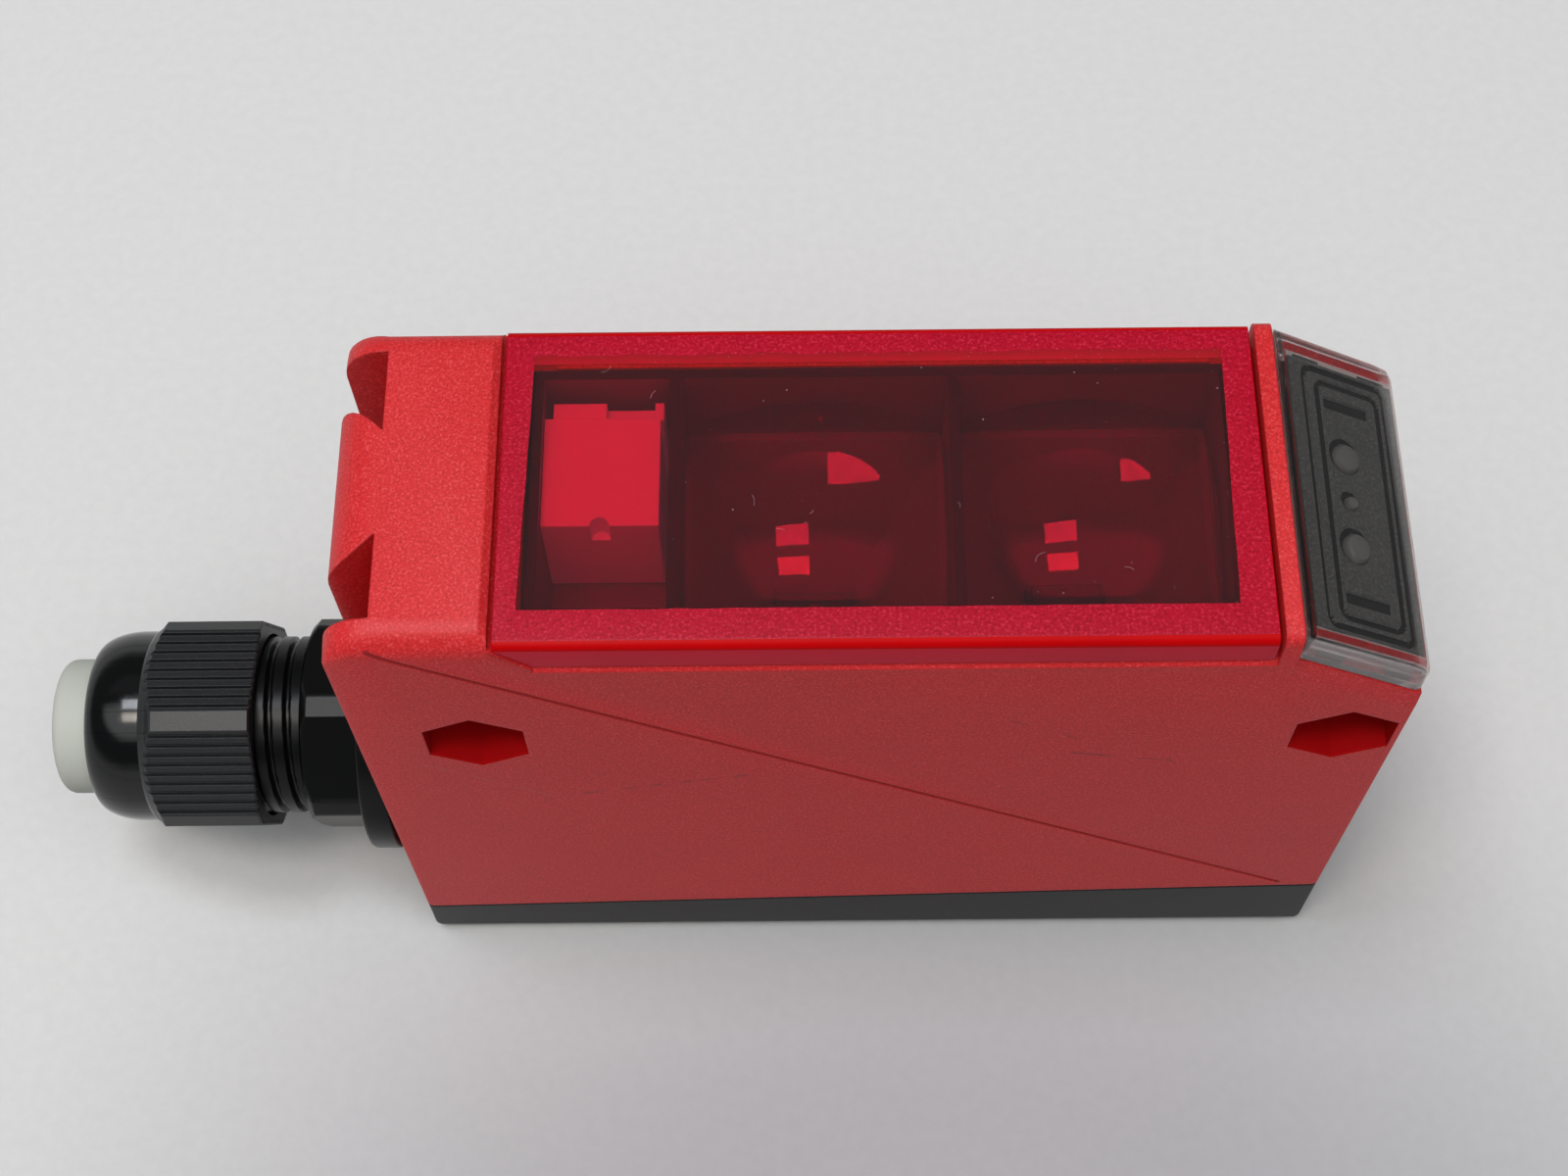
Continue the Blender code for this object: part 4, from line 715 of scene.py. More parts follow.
@dataclass
class Housing(Assembly):
    """Moulded red shell with its slots, pockets and the line across its sides."""

    line_start: Point = (-41.0, 68.5)
    line_end: Point = (40.8, 12.8)
    line_width: float = 0.3
    pockets: tuple[Point, ...] = ((-34.55, 50.4), (39.85, 50.4))
    pocket_reach: float = 5.2
    pocket_depth: Point = (9.0, 14.6)

    def build(self) -> None:
        """Make the shell and dress it.

        The real one is glass-filled polyester, injection-moulded in a spark-eroded tool,
        which gives a warm red with a fine grain, its peaks painted brighter as highlights,
        and a soft shine on its edges. The walls of its nut pockets are painted a deeper red
        as painted shade, since little light gets to them.
        """
        dark, pale = "#6e2024", "#c06a6c"
        # Painted highlights on the grain's peaks and painted shade in its pits.
        polyester = MouldedPlastic(
            "spark_eroded_polyester_red", "#dc282c", 0.5, Grain.SPARK_ERODED,
            cloud=0.06, dust_speck_and_grain_highlight=0.45, grain_highlight_colour="#f86a6c", pit=0.40, edge=0.3, shine=0.35,
            marks=(
                # Painted shade along the groove that runs across both long sides.
                Mark(self.line_start, self.line_end, self.line_width, 0.75, "#8c1216", True),
                Mark((-26.1, 38.6), (-11.5, 42.5), 0.35, 0.5, dark),
                Mark((17.0, 47.0), (26.0, 45.0), 0.3, 0.6, dark),
                Mark((11.0, 54.3), (17.3, 50.1), 0.25, 0.35, dark),
                Mark((-42.8, 47.8), (-28.4, 37.4), 0.25, 0.35, pale),
            ),
        )
        shell = self.welded("housing", "housing_shell", 30.0)
        floor, brim = self.pocket_depth
        # Faces on the nut pockets' walls take the second finish, which is painted shade.
        for polygon in shell.polygons:
            place = polygon.center / MM
            for x, z in self.pockets:
                if hypot(place.x - x, place.z - z) < self.pocket_reach and floor < abs(place.y) < brim:
                    polygon.material_index = 1
        # A deeper red that is painted shade in the pockets.
        deep = MouldedPlastic(
            "moulded_polyester_pocket", "#b00c10", 0.6, Grain.SPARK_ERODED,
            cloud=0.08, edge=0.15, shine=0.05,
        )
        put(
            "housing_shell", shell, [polyester.material(), deep.material()],
            self.slot_of("housing"), ("housing",),
        )


class Face(Enum):
    """The differently finished faces of the optics cover, by material index."""

    FRAME = 0
    PANE = 1
    BEVEL = 2
    SKIRT = 3
    LINING = 4


@dataclass
class OpticsCover(Assembly):
    """Dyed cover: a polished window in a textured frame, with a bevelled edge.

    The pane's corners run round from the near left one, and its edges waver a little,
    the far one most. Dust lies just above it.
    """

    left: float = -31.0
    right: float = 31.4
    half: float = 14.85
    top: float = 69.2
    bottom: float = 65.7
    slant_end: float = -28.0
    slant_top: float = 68.65
    bevel: float = 0.9
    corner: float = 0.4
    wall: float = 1.3
    # Width of the far strip where the glowing faces, painted light, show through the pane.
    glowing_strip: float = 2.8
    top_wall: float = 1.8
    cut_past: float = 1.0
    pane: tuple[Point, ...] = ((-29.2, -11.45), (28.45, -11.45), (28.95, 12.25), (-28.6, 12.25))
    waver: float = 0.14
    inner_left: float = -29.5
    bevel_steps: int = 6
    corner_steps: int = 3
    long_steps: int = 36
    short_steps: int = 10
    specks: tuple[Point, ...] = (
        (-15.75, 0.02), (-9.42, 7.66), (-7.46, 8.68), (-11.9, -2.57), (-6.02, -3.8), (8.82, -10.77),
        (8.73, 5.65), (16.52, 10.1), (3.78, 10.74), (18.41, 9.03), (28.3, 8.43), (14.45, -10.4),
    )
    speck_sizes: tuple[float, ...] = (0.06, 0.07, 0.08)
    grains: int = 110
    grain_sizes: tuple[float, ...] = (0.02, 0.025, 0.03, 0.04)
    hairs: tuple[tuple[float, float, float, float], ...] = (
        (-10.2, -2.2, 1.4, 1.0), (-8.4, -4.4, 0.3, 0.7), (12.4, -7.6, 1.5, 1.3), (6.5, -2.6, 1.2, 0.6),
        (-18.8, 8.0, 1.5, 0.9), (-5.7, -3.0, 0.2, 0.5), (20.2, -8.4, 2.3, 0.8), (-23.0, 10.6, 0.1, 1.1),
    )
    hair_steps: int = 7
    hair_half_width: float = 0.013
    dust_level: float = 0.012
    dust_thickness: float = 0.01

    def outer(self) -> bpy.types.Mesh:
        """Outside of the cover, its pane set off as a face of its own."""
        outline = [
            (self.left, self.top), (self.left, self.slant_top), (self.slant_end, self.bottom),
            (self.right, self.bottom), (self.right, self.top),
        ]
        bm = bmesh.new()
        ends = [corners(bm, [(x, y, z) for x, z in outline]) for y in (-self.half, self.half)]
        for ring in ends:
            bm.faces.new(ring)
        band(bm, *ends)
        bmesh.ops.recalc_face_normals(bm, faces=bm.faces)
        level = self.top * MM - SAME_PLACE
        for axis, offset, segments in (
            (1, self.bevel, self.bevel_steps), (0, self.corner, self.corner_steps),
        ):
            edges = [
                edge for edge in bm.edges
                if all(vert.co.z > level for vert in edge.verts)
                and abs(edge.verts[0].co[axis] - edge.verts[1].co[axis]) < SAME_PLACE
            ]
            bmesh.ops.bevel(
                bm, geom=edges, offset=offset * MM, segments=segments, profile=0.5, affect="EDGES",
            )
        bm.normal_update()
        for face in bm.faces:
            if 0.05 < face.normal.z < 0.98:
                face.material_index = Face.BEVEL.value
            elif face.normal.z <= 0.05:
                under = face.normal.z < -0.9
                face.material_index = Face.LINING.value if under else Face.SKIRT.value
        top = max(bm.faces, key=lambda face: (round(face.calc_center_median().z, 6), face.calc_area()))
        near = sorted((vert for vert in top.verts if vert.co.y < 0), key=lambda vert: vert.co.x)
        far = sorted((vert for vert in top.verts if vert.co.y > 0), key=lambda vert: -vert.co.x)
        bm.faces.remove(top)
        loop = [near[0], near[-1], far[0], far[-1]]
        sides = self.pane_edges(bm)
        for i in range(4):
            nxt = sides[(i + 1) % 4][0]
            bm.faces.new([loop[i], loop[(i + 1) % 4], nxt] + sides[i][::-1])
        window = bm.faces.new([vert for row in sides for vert in row])
        window.material_index = Face.PANE.value
        return mesh_from(bm, "cover_outside", 30.0)

    def pane_edges(self, bm: bmesh.types.BMesh) -> list[list[bmesh.types.BMVert]]:
        """Add the corners of the pane's wavering edges, one row for each of its four sides."""
        rng = random.Random(3)
        sides = []
        for i in range(4):
            (x0, y0), (x1, y1) = self.pane[i], self.pane[(i + 1) % 4]
            steps = self.long_steps if i % 2 == 0 else self.short_steps
            depth = self.waver if i == 2 else 0.25 * self.waver
            row = []
            for k in range(steps):
                share = k / steps
                shift = depth * (rng.uniform(-1, 1) if k else 0.0)
                x, y = x0 + (x1 - x0) * share, y0 + (y1 - y0) * share
                if i % 2 == 0:
                    y += shift
                else:
                    x += shift
                row.append((x, y, self.top))
            sides.append(corners(bm, row))
        return sides

    def finishes(self) -> list[bpy.types.Material]:
        """Finishes of the cover's faces, in the order of Face."""
        # Painted highlights on the grain's peaks and painted shade in its pits.
        frame = MouldedPlastic(
            "textured_polycarbonate_red", "#b80428", 0.42, Grain.COARSE_ERODED,
            cloud=0.10, cloud_size=5.0, dust_speck_and_grain_highlight=0.4, grain_highlight_colour="#f0405c", pit=0.45, edge=0.2, shine=0.2,
        )
        pane = ClearPlastic("polished_polycarbonate_red", "#ff547b", 0.0, 1.58, 1.0, Grain.POLISHED, 0.05)
        bevel = MouldedPlastic(
            "rounded_polycarbonate_red", "#c80208", 0.4, Grain.SATIN, cloud=0.10, edge=0.2, shine=0.06,
        )
        skirt = MouldedPlastic(
            "edge_polycarbonate_red", "#d8203a", 0.45, Grain.SPARK_ERODED,
            cloud=0.12, edge=0.15, shine=0.15,
        )
        # The hidden faces glow faintly though they are no lamp: painted light.
        glowing_lining = MouldedPlastic(
            "lit_polycarbonate_red", "#d0183c", 0.5, Grain.SATIN,
            cloud=0.05, edge=0.05, shine=0.2, glow=0.36,
        )
        return [finish.material() for finish in (frame, pane, bevel, skirt, glowing_lining)]

    def hollow(self, materials: list[bpy.types.Material]) -> bpy.types.Object:
        """Block that is cut out of the cover, with the finish of the faces it leaves.

        Its ceiling is the pane's underside, but for a strip along the far side, where the
        glowing faces, which are painted light, show through the pane.
        """
        bm = bmesh.new()
        floor, ceiling = self.bottom - self.cut_past, self.top - self.top_wall
        near, strip, far = self.wall - self.half, self.half - self.glowing_strip, self.half - self.wall
        outline = [(near, floor), (far, floor), (far, ceiling), (strip, ceiling), (near, ceiling)]
        ends = [
            corners(bm, [(x, y, z) for y, z in outline]) for x in (self.inner_left, self.right - self.wall)
        ]
        faces = [bm.faces.new(ends[0][::-1]), bm.faces.new(ends[1]), *band(bm, *ends)]
        for face in faces:
            face.material_index = Face.LINING.value
        faces[2 + outline.index((strip, ceiling))].material_index = Face.PANE.value
        mesh = mesh_from(bm, "cover_hollow")
        for material in materials:
            mesh.materials.append(material)
        return linked("cover_hollow", mesh)

    def build(self) -> None:
        """Make the cover and dress it.

        The real one is red polycarbonate: the frame's texture scatters light, so it looks
        crimson, while the polished pane lets red light through. The hidden faces under the
        frame are given a faint glow, which is painted light.
        """
        materials = self.finishes()
        mesh = self.outer()
        for material in materials:
            mesh.materials.append(material)
        window = carved(linked("cover_outside", mesh), self.hollow(materials), 30.0)
        put("optics_window", window, [], "red_window", ("optics_cover",))
        self.dust()

    def dust_speck_and_grain_highlight(self, bm: bmesh.types.BMesh, rng: random.Random, x: float, y: float, size: float) -> None:
        """Add a speck of dust of a size in mm at a place on the window."""
        count = rng.randint(4, 6)
        ring = []
        for k in range(count):
            angle = 2 * pi * k / count + rng.uniform(-0.4, 0.4)
            reach = size * rng.uniform(0.6, 1.2)
            ring.append((x + reach * cos(angle), y + reach * sin(angle), self.top + self.dust_level))
        bm.faces.new(corners(bm, ring))

    def hair(
        self, bm: bmesh.types.BMesh, rng: random.Random, x: float, y: float, angle: float, length: float,
    ) -> None:
        """Add a short bent hair.

        Args:
            bm: The bmesh that gets it.
            rng: Source of its bend.
            x: Where it starts, in mm.
            y: Where it starts, in mm.
            angle: The direction it sets out in, in radians.
            length: Its length in mm.
        """
        level = self.top + self.dust_level
        bend = rng.uniform(-0.5, 0.5)
        rows = []
        for _ in range(self.hair_steps + 1):
            across = Vector((-sin(angle), cos(angle), 0.0)) * self.hair_half_width
            rows.append(corners(bm, [(x + across.x * s, y + across.y * s, level) for s in (-1, 1)]))
            x += cos(angle) * length / self.hair_steps
            y += sin(angle) * length / self.hair_steps
            angle += bend / 2
        for lower, upper in zip(rows, rows[1:]):
            bm.faces.new((lower[0], lower[1], upper[1], upper[0]))

    def dust(self) -> None:
        """Specks and short hairs that lie on the window, as on any used sensor.

        The fine grains gather along the pane's far edge and its right end.
        """
        rng = random.Random(7)
        bm = bmesh.new()
        for x, y in self.specks:
            self.dust_speck_and_grain_highlight(bm, rng, x, y, rng.choice(self.speck_sizes))
        for _ in range(self.grains):
            x = rng.uniform(self.pane[3][0], self.pane[1][0])
            y = rng.uniform(self.pane[0][1], self.pane[2][1])
            edge = rng.random()
            if edge < 0.35:
                y = self.pane[2][1] - abs(rng.gauss(0, 0.4))
            elif edge < 0.5:
                x = self.pane[1][0] - abs(rng.gauss(0, 0.3))
            self.dust_speck_and_grain_highlight(bm, rng, x, y, rng.choice(self.grain_sizes))
        for x, y, angle, length in self.hairs:
            self.hair(bm, rng, x, y, angle, length)
        for vert in second_skin(bm):
            vert.co.z -= self.dust_thickness * MM
        lint = MouldedPlastic("lint_and_dust_grey", "#b8868e", 0.9, Grain.SATIN, edge=0.01, shine=0.2)
        put("window_dust", mesh_from(bm, "window_dust"), [lint.material()], "red_window")


@dataclass
class Optics(Assembly):
    """Lenses, light guide, carrier and diodes behind the window."""

    rim: float = 1.2
    sag: float = 8.2
    rear_radius: float = 33.0
    rear_share: float = 0.9
    steps: int = 60
    carrier_lip: float = 66.7
    guide_x: Point = (-27.85, -18.1)
    guide_y: Point = (-2.6, 7.6)
    guide_z: Point = (55.4, 65.9)
    strip_x: Point = (-27.2, -17.85)
    strip_y: Point = (7.65, 9.35)
    recess: Point = (-22.7, -18.6)
    recess_depth: float = 1.2
    strip_drop: float = 0.5
    notch: float = -23.0
    notch_radius: float = 0.8
    notch_depth: float = 2.5
    notch_steps: int = 16

    def lens(self, node: str, name: str, front: Finish, rear: Finish) -> None:
        """Convex lens with a true spherical face, in the place of its solid.

        Args:
            node: The lens's node.
            name: The piece's name.
            front: Finish of its front and its sides.
            rear: Finish of its rear, which is a bowl that goes most of the way up the rim.
        """
        low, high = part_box(node)
        half_x, half_y = (high.x - low.x) / 2, (high.y - low.y) / 2
        middle = (high + low) / 2
        reach = hypot(half_x, half_y)
        rise = self.sag * MM
        radius = (reach * reach + rise * rise) / (2 * rise)
        depth = self.rear_share * self.rim * MM
        bm = bmesh.new()
        bmesh.ops.create_grid(bm, x_segments=self.steps, y_segments=self.steps, size=1.0)
        for vert in bm.verts:
            x, y = vert.co.x * half_x, vert.co.y * half_y
            lift = sqrt(radius * radius - x * x - y * y) - (radius - rise)
            vert.co = (middle.x + x, middle.y + y, low.z + self.rim * MM + max(lift, 0.0))
        for vert in second_skin(bm):
            x, y = vert.co.x - middle.x, vert.co.y - middle.y
            vert.co.z = low.z + min(depth, (x * x + y * y) / (2 * self.rear_radius * MM))
        mesh = mesh_from(bm, name, 40.0)
        for polygon in mesh.polygons:
            if polygon.normal.z < -0.5:
                polygon.material_index = 1
        put(name, mesh, [front.material(), rear.material()], self.slot_of(node), (node,))

    def carrier(self) -> None:
        """Carrier with black lips: its bays are painted a little lighter, as painted light for the stray
        light they catch.
        """
        mesh = self.welded("optics_carrier", "lens_carrier", 30.0)
        for polygon in mesh.polygons:
            if polygon.normal.z > 0.9 and polygon.center.z > self.carrier_lip * MM:
                polygon.material_index = 1
        # The bays' lighter grey is painted light; the lips keep the carrier's own dark colour.
        walls = MouldedPlastic(
            "satin_polyamide_bay", "#8e8080", 0.55, Grain.SATIN, cloud=0.12, edge=0.1, shine=0.2,
        )
        lips = MouldedPlastic("satin_polyamide_lip", "#3a3031", 0.5, Grain.SATIN, edge=0.05, shine=0.2)
        put(
            "lens_carrier", mesh, [walls.material(), lips.material()], self.slot_of("optics_carrier"),
            ("optics_carrier",),
        )

    def guide(self) -> None:
        """Pale block with a notch in its near edge, and a strip with a recess behind it."""
        bm = bmesh.new()
        (left, right), (near, far), (low, high) = self.guide_x, self.guide_y, self.guide_z
        arc = []
        for k in range(self.notch_steps + 1):
            angle = pi * k / self.notch_steps
            arc.append((self.notch - self.notch_radius * cos(angle), near + self.notch_radius * sin(angle)))
        sides = ((left, near), (right, near), (right, far), (left, far))
        base, brim = (corners(bm, [(x, y, z) for x, y in sides]) for z in (low, high))
        floor, lip = (corners(bm, [(x, y, z) for x, y in arc]) for z in (high - self.notch_depth, high))
        bm.faces.new(base[::-1])
        bm.faces.new([brim[0], *lip, *brim[1:]])
        bm.faces.new([base[0], base[1], brim[1], lip[-1], floor[-1], floor[0], lip[0], brim[0]])
        for i in (1, 2, 3):
            j = (i + 1) % 4
            bm.faces.new((base[i], base[j], brim[j], brim[i]))
        for i in range(self.notch_steps):
            bm.faces.new((floor[i], floor[i + 1], lip[i + 1], lip[i]))
        bm.faces.new(floor[::-1])
        left, right = self.strip_x
        start, end = self.recess
        high -= self.strip_drop
        floor_level = high - self.recess_depth
        outline = [
            (left, low), (right, low), (right, high), (end, high),
            (end, floor_level), (start, floor_level), (start, high), (left, high),
        ]
        ends = [corners(bm, [(x, y, z) for x, z in outline]) for y in self.strip_y]
        bm.faces.new(ends[0])
        bm.faces.new(ends[1][::-1])
        band(bm, *ends)
        # Its faint glow is painted light: the block is no lamp.
        acrylic = MouldedPlastic(
            "satin_acrylic_pale", "#fffaf8", 0.35, Grain.SATIN, cloud=0.03, edge=0.15, shine=0.3, glow=0.03,
        )
        put(
            "light_guide_block", mesh_from(bm, "light_guide_block", 30.0), [acrylic.material()],
            self.slot_of("light_guide"), ("light_guide",),
        )

    def build(self) -> None:
        """Make the inner optics and dress them.

        The lenses are clear polished acrylic whose coating gives back the lamps as glints,
        the light guide is pale satin acrylic with a faint glow that is painted light, and
        the carrier is satin polyamide with black lips that keep stray light away; its bays
        are painted lighter as painted light. The lenses bend light less than bare acrylic
        does, so that the bays behind them stay in view.
        """
        front = ClearPlastic("coated_acrylic_front", "#fdfbfa", 0.0, 1.04, edge=0.05, coat=1.0)
        rear = ClearPlastic("coated_acrylic_rear", "#fdfbfa", 0.0, 1.04, edge=0.05, coat=1.0)
        self.lens("emitter_lens", "emitter_lens_clear", front, rear)
        self.lens("receiver_lens", "receiver_lens_clear", front, rear)
        self.carrier()
        self.guide()
        self.skin(
            "emitter_diode", "emitter_diode_dome", ClearPlastic("cast_epoxy_red", "#e2503c", 0.0, 1.54, 0.7),
        )
        self.skin(
            "receiver_diode", "receiver_diode_body",
            MouldedPlastic("cast_epoxy_dark", "#2a1c20", 0.2, Grain.POLISHED, edge=0.1),
        )


@dataclass(frozen=True)
class Ring:
    """A closed groove round the indicator panel, in mm."""

    shift: float
    side: float
    end: float
    radius: float = 1.2
    width: float = 0.6

    def depth(self, u: float, v: float, half_u: float, half_v: float) -> float:
        """How far a place lies in the groove.

        Args:
            u: The place along the slope, from the panel's middle.
            v: The place across the slope.
            half_u: Half the panel's length along the slope.
            half_v: Half its width across the slope.

        Returns:
            One at the groove's floor and none outside it.
        """
        half = (half_u - self.side - self.radius, half_v - self.end - self.radius)
        off = (abs(u - self.shift) - half[0], abs(v) - half[1])
        gap = hypot(max(off[0], 0.0), max(off[1], 0.0)) + min(max(off), 0.0) - self.radius
        return min(1.0, max(0.0, (self.width / 2 - abs(gap + self.width / 2)) / BRINK))


@dataclass
class IndicatorCorner(Assembly):
    """Clear slanted cover over the dark panel with its lamps.

    Its slanted top starts at x = start, where it is at its top height, and falls to the
    right by turn degrees. A drop is a depth in mm straight under that slanted top.
    """

    start: float = 33.3
    top: float = 69.4
    turn: float = 31.5
    cover_depth: float = 4.0
    cover_wall: float = 1.62
    cut_past: float = 1.0
    hollow_x: Point = (34.1, 44.3)
    hollow_y: float = 12.9
    panel_x: Point = (34.4, 44.0)
    panel_y: float = 12.6
    panel_drop: float = 1.9
    panel_thickness: float = 0.85
    rings: tuple[Ring, ...] = (Ring(0.47, 0.82, 0.3), Ring(0.68, 1.96, 1.35))
    groove: float = 0.4
    cell: float = 0.1
    bar_u: Point = (-2.1, 3.0)
    bar_v: Point = (8.52, 9.68)
    lamp_u: float = -0.47
    lamps: tuple[Point, ...] = ((-4.2, 1.35), (0.0, 0.6), (4.2, 1.35))
    lamp_gap: float = 0.25
    lamp_sink: float = 0.42
    lamp_shift: float = 0.2
    pit_floor: float = 0.05
    feet_x: Point = (36.1, 42.3)
    foot_half: float = 1.2
    foot_gaps: Point = (0.02, 0.03)

    def slope(self, x: float, drop: float) -> float:
        """Height in mm of the plane that lies drop below the cover's slanted top."""
        return self.top - tan(radians(self.turn)) * (x - self.start) - drop

    def slanted(self, bm: bmesh.types.BMesh, xs: Point, ys: Point, high: float, low: float) -> None:
        """Add a block between two planes that run parallel to the slanted top.

        Args:
            bm: The bmesh that gets it.
            xs: Its ends in mm.
            ys: Its sides in mm.
            high: Drop of its upper face in mm.
            low: Drop of its lower face in mm.
        """
        places = ((xs[0], ys[0]), (xs[1], ys[0]), (xs[1], ys[1]), (xs[0], ys[1]))
        rings = [corners(bm, [(x, y, self.slope(x, drop)) for x, y in places]) for drop in (low, high)]
        bm.faces.new(rings[0][::-1])
        bm.faces.new(rings[1])
        band(bm, *rings)

    def cover(self) -> None:
        """Clear cover whose hollow leaves the panel open to view up to its edges."""
        mesh = self.welded("indicator_cover", "indicator_window", 40.0)
        for polygon in mesh.polygons:
            normal = polygon.normal
            end = normal.x > 0.8 or (normal.x < -0.8 and polygon.center.x > 40.0 * MM)
            if normal.y > 0.8 or end:
                polygon.material_index = 2
            elif normal.y < -0.8:
                polygon.material_index = 1
        clear = ClearPlastic(
            "polished_polycarbonate_clear", "#fbf6f5", 0.0, 1.58, 1.0, Grain.POLISHED, 0.35,
        )
        frosted = ClearPlastic(
            "frosted_polycarbonate_clear", "#f4e6e4", 0.14, 1.58, 0.88, Grain.SPARK_ERODED, 0.35,
        )
        milky = ClearPlastic(
            "milky_polycarbonate_clear", "#f4e0dc", 0.25, 1.58, 0.45, Grain.SPARK_ERODED, 0.35,
        )
        materials = [clear.material(), frosted.material(), milky.material()]
        shell = linked("indicator_outside", mesh)
        bm = bmesh.new()
        sides = (-self.hollow_y, self.hollow_y)
        self.slanted(bm, self.hollow_x, sides, self.cover_wall, self.cover_depth + self.cut_past)
        tool = linked("indicator_hollow", mesh_from(bm, "indicator_hollow"))
        for item in (shell, tool):
            for material in materials:
                item.data.materials.append(material)
        put(
            "indicator_window", carved(shell, tool, 40.0), [], self.slot_of("indicator_cover"),
            ("indicator_cover",),
        )

    def sunk(self, u: float, v: float, half_u: float, half_v: float) -> float:
        """How deep the panel's face lies in its lamp pits, rings and bars.

        Args:
            u: The place along the slope, from the panel's middle, in mm.
            v: The place across the slope, in mm.
            half_u: Half the panel's length along the slope, in mm.
            half_v: Half its width across the slope, in mm.

        Returns:
            The depth under the panel's face in mm.
        """
        for place, radius in self.lamps:
            if hypot(u - self.lamp_u, v - place) < radius + self.lamp_gap:
                return self.panel_thickness - self.pit_floor
        depth = max(ring.depth(u, v, half_u, half_v) for ring in self.rings)
        inside = min(u - self.bar_u[0], self.bar_u[1] - u, abs(v) - self.bar_v[0], self.bar_v[1] - abs(v))
        return self.groove * max(depth, min(1.0, max(0.0, inside / BRINK)))

    def panel(self) -> None:
        """Grey panel with two sunk rings, two sunk bars, pits for the lamps and four feet;
        the sunk places and the feet are painted near black as painted shade.
        """
        left, right = self.panel_x
        angle = radians(self.turn)
        half_u, half_v = (right - left) / 2 / cos(angle), self.panel_y
        middle = (left + right) / 2
        centre = Vector((middle, 0.0, self.slope(middle, self.panel_drop)))
        along = Vector((cos(angle), 0.0, -sin(angle)))
        normal = Vector((sin(angle), 0.0, cos(angle)))
        count_u, count_v = int(2 * half_u / self.cell), int(2 * half_v / self.cell)
        bm = bmesh.new()
        bmesh.ops.create_grid(bm, x_segments=count_u, y_segments=count_v, size=1.0)
        depths = {}
        for vert in bm.verts:
            u, v = vert.co.x * half_u, vert.co.y * half_v
            depth = self.sunk(u, v, half_u, half_v)
            vert.co = (centre + along * u + Vector((0.0, v, 0.0)) - normal * depth) * MM
            depths[vert] = depth
        # Faces sunk in the grooves, bars and pits get the near-black finish: painted shade.
        for face in bm.faces:
            if sum(depths[vert] for vert in face.verts) / 4 > 0.4 * self.groove:
                face.material_index = 1
        for vert in second_skin(bm):
            level = (vert.co / MM - centre).dot(normal)
            vert.co -= normal * (level + self.panel_thickness) * MM
        inner, outer = self.panel_y + self.foot_gaps[0], self.hollow_y - self.foot_gaps[1]
        for x in self.feet_x:
            xs = (x - self.foot_half, x + self.foot_half)
            for ys in ((-outer, -inner), (inner, outer)):
                known = set(bm.faces)
                self.slanted(bm, xs, ys, self.panel_drop, self.cover_depth)
                # The feet get the same near-black painted shade.
                for face in set(bm.faces) - known:
                    face.material_index = 1
        # Painted highlights on the grain's peaks and painted shade in its pits.
        face_finish = MouldedPlastic(
            "textured_polycarbonate_grey", "#565957", 0.5, Grain.COARSE_ERODED,
            cloud=0.15, cloud_size=3.0, dust_speck_and_grain_highlight=0.45, grain_highlight_colour="#868a88", pit=0.5, edge=0.08, shine=0.25,
        )
        # Near black: painted shade in the sunk places and on the feet.
        sunk_painted_shade = MouldedPlastic(
            "sunk_polycarbonate_grey", "#0d0f0e", 0.5, Grain.SATIN, edge=0.05, shine=0.15,
        )
        put(
            "indicator_mask", mesh_from(bm, "indicator_mask", 30.0),
            [face_finish.material(), sunk_painted_shade.material()],
            self.slot_of("indicator_panel"), ("indicator_panel",),
        )

    def lamp(self, number: int, finish: Finish) -> None:
        """Frosted lens in its pit, in the form of its solid but at the photograph's place.

        Args:
            number: The lamp's number, from the near one.
            finish: Finish of the lens.
        """
        node = f"indicator_lamp_{number}"
        across, radius = self.lamps[number - 1]
        angle = radians(self.turn)
        middle = sum(self.panel_x) / 2
        low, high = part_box(node)
        mesh = self.welded(node, f"indicator_lamp_lens_{number}", 40.0)
        ratio = 2 * radius * MM / (high.y - low.y)
        x = middle + self.lamp_u * cos(angle)
        z = self.slope(x, self.panel_drop) - self.lamp_sink
        mesh.transform(
            Matrix.Translation((x * MM + self.lamp_shift * MM, across * MM, z * MM))
            @ Matrix.Scale(ratio, 4) @ Matrix.Translation(-(low + high) / 2)
        )
        put(f"indicator_lamp_lens_{number}", mesh, [finish.material()], self.slot_of(node), (node,))

    def build(self) -> None:
        """Make the corner's pieces and dress them.

        The cover is clear polycarbonate, polished on top, frosted on its near wall and
        milky on its far wall and its right end. The panel is dark grey polycarbonate with
        a coarse texture; its sunk lines are painted darker as painted shade. The lamps'
        lenses are frosted.
        """
        self.cover()
        self.panel()
        lens = ClearPlastic(
            "frosted_polycarbonate_lamp", "#9a9d97", 0.35, 1.58, 0.5, Grain.COARSE_ERODED, 0.1,
        )
        for number in (1, 2, 3):
            self.lamp(number, lens)
        self.dress_node("lamp_board", Laminate("glass_cloth_laminate_lamp", "#20402c", 0.4).material())


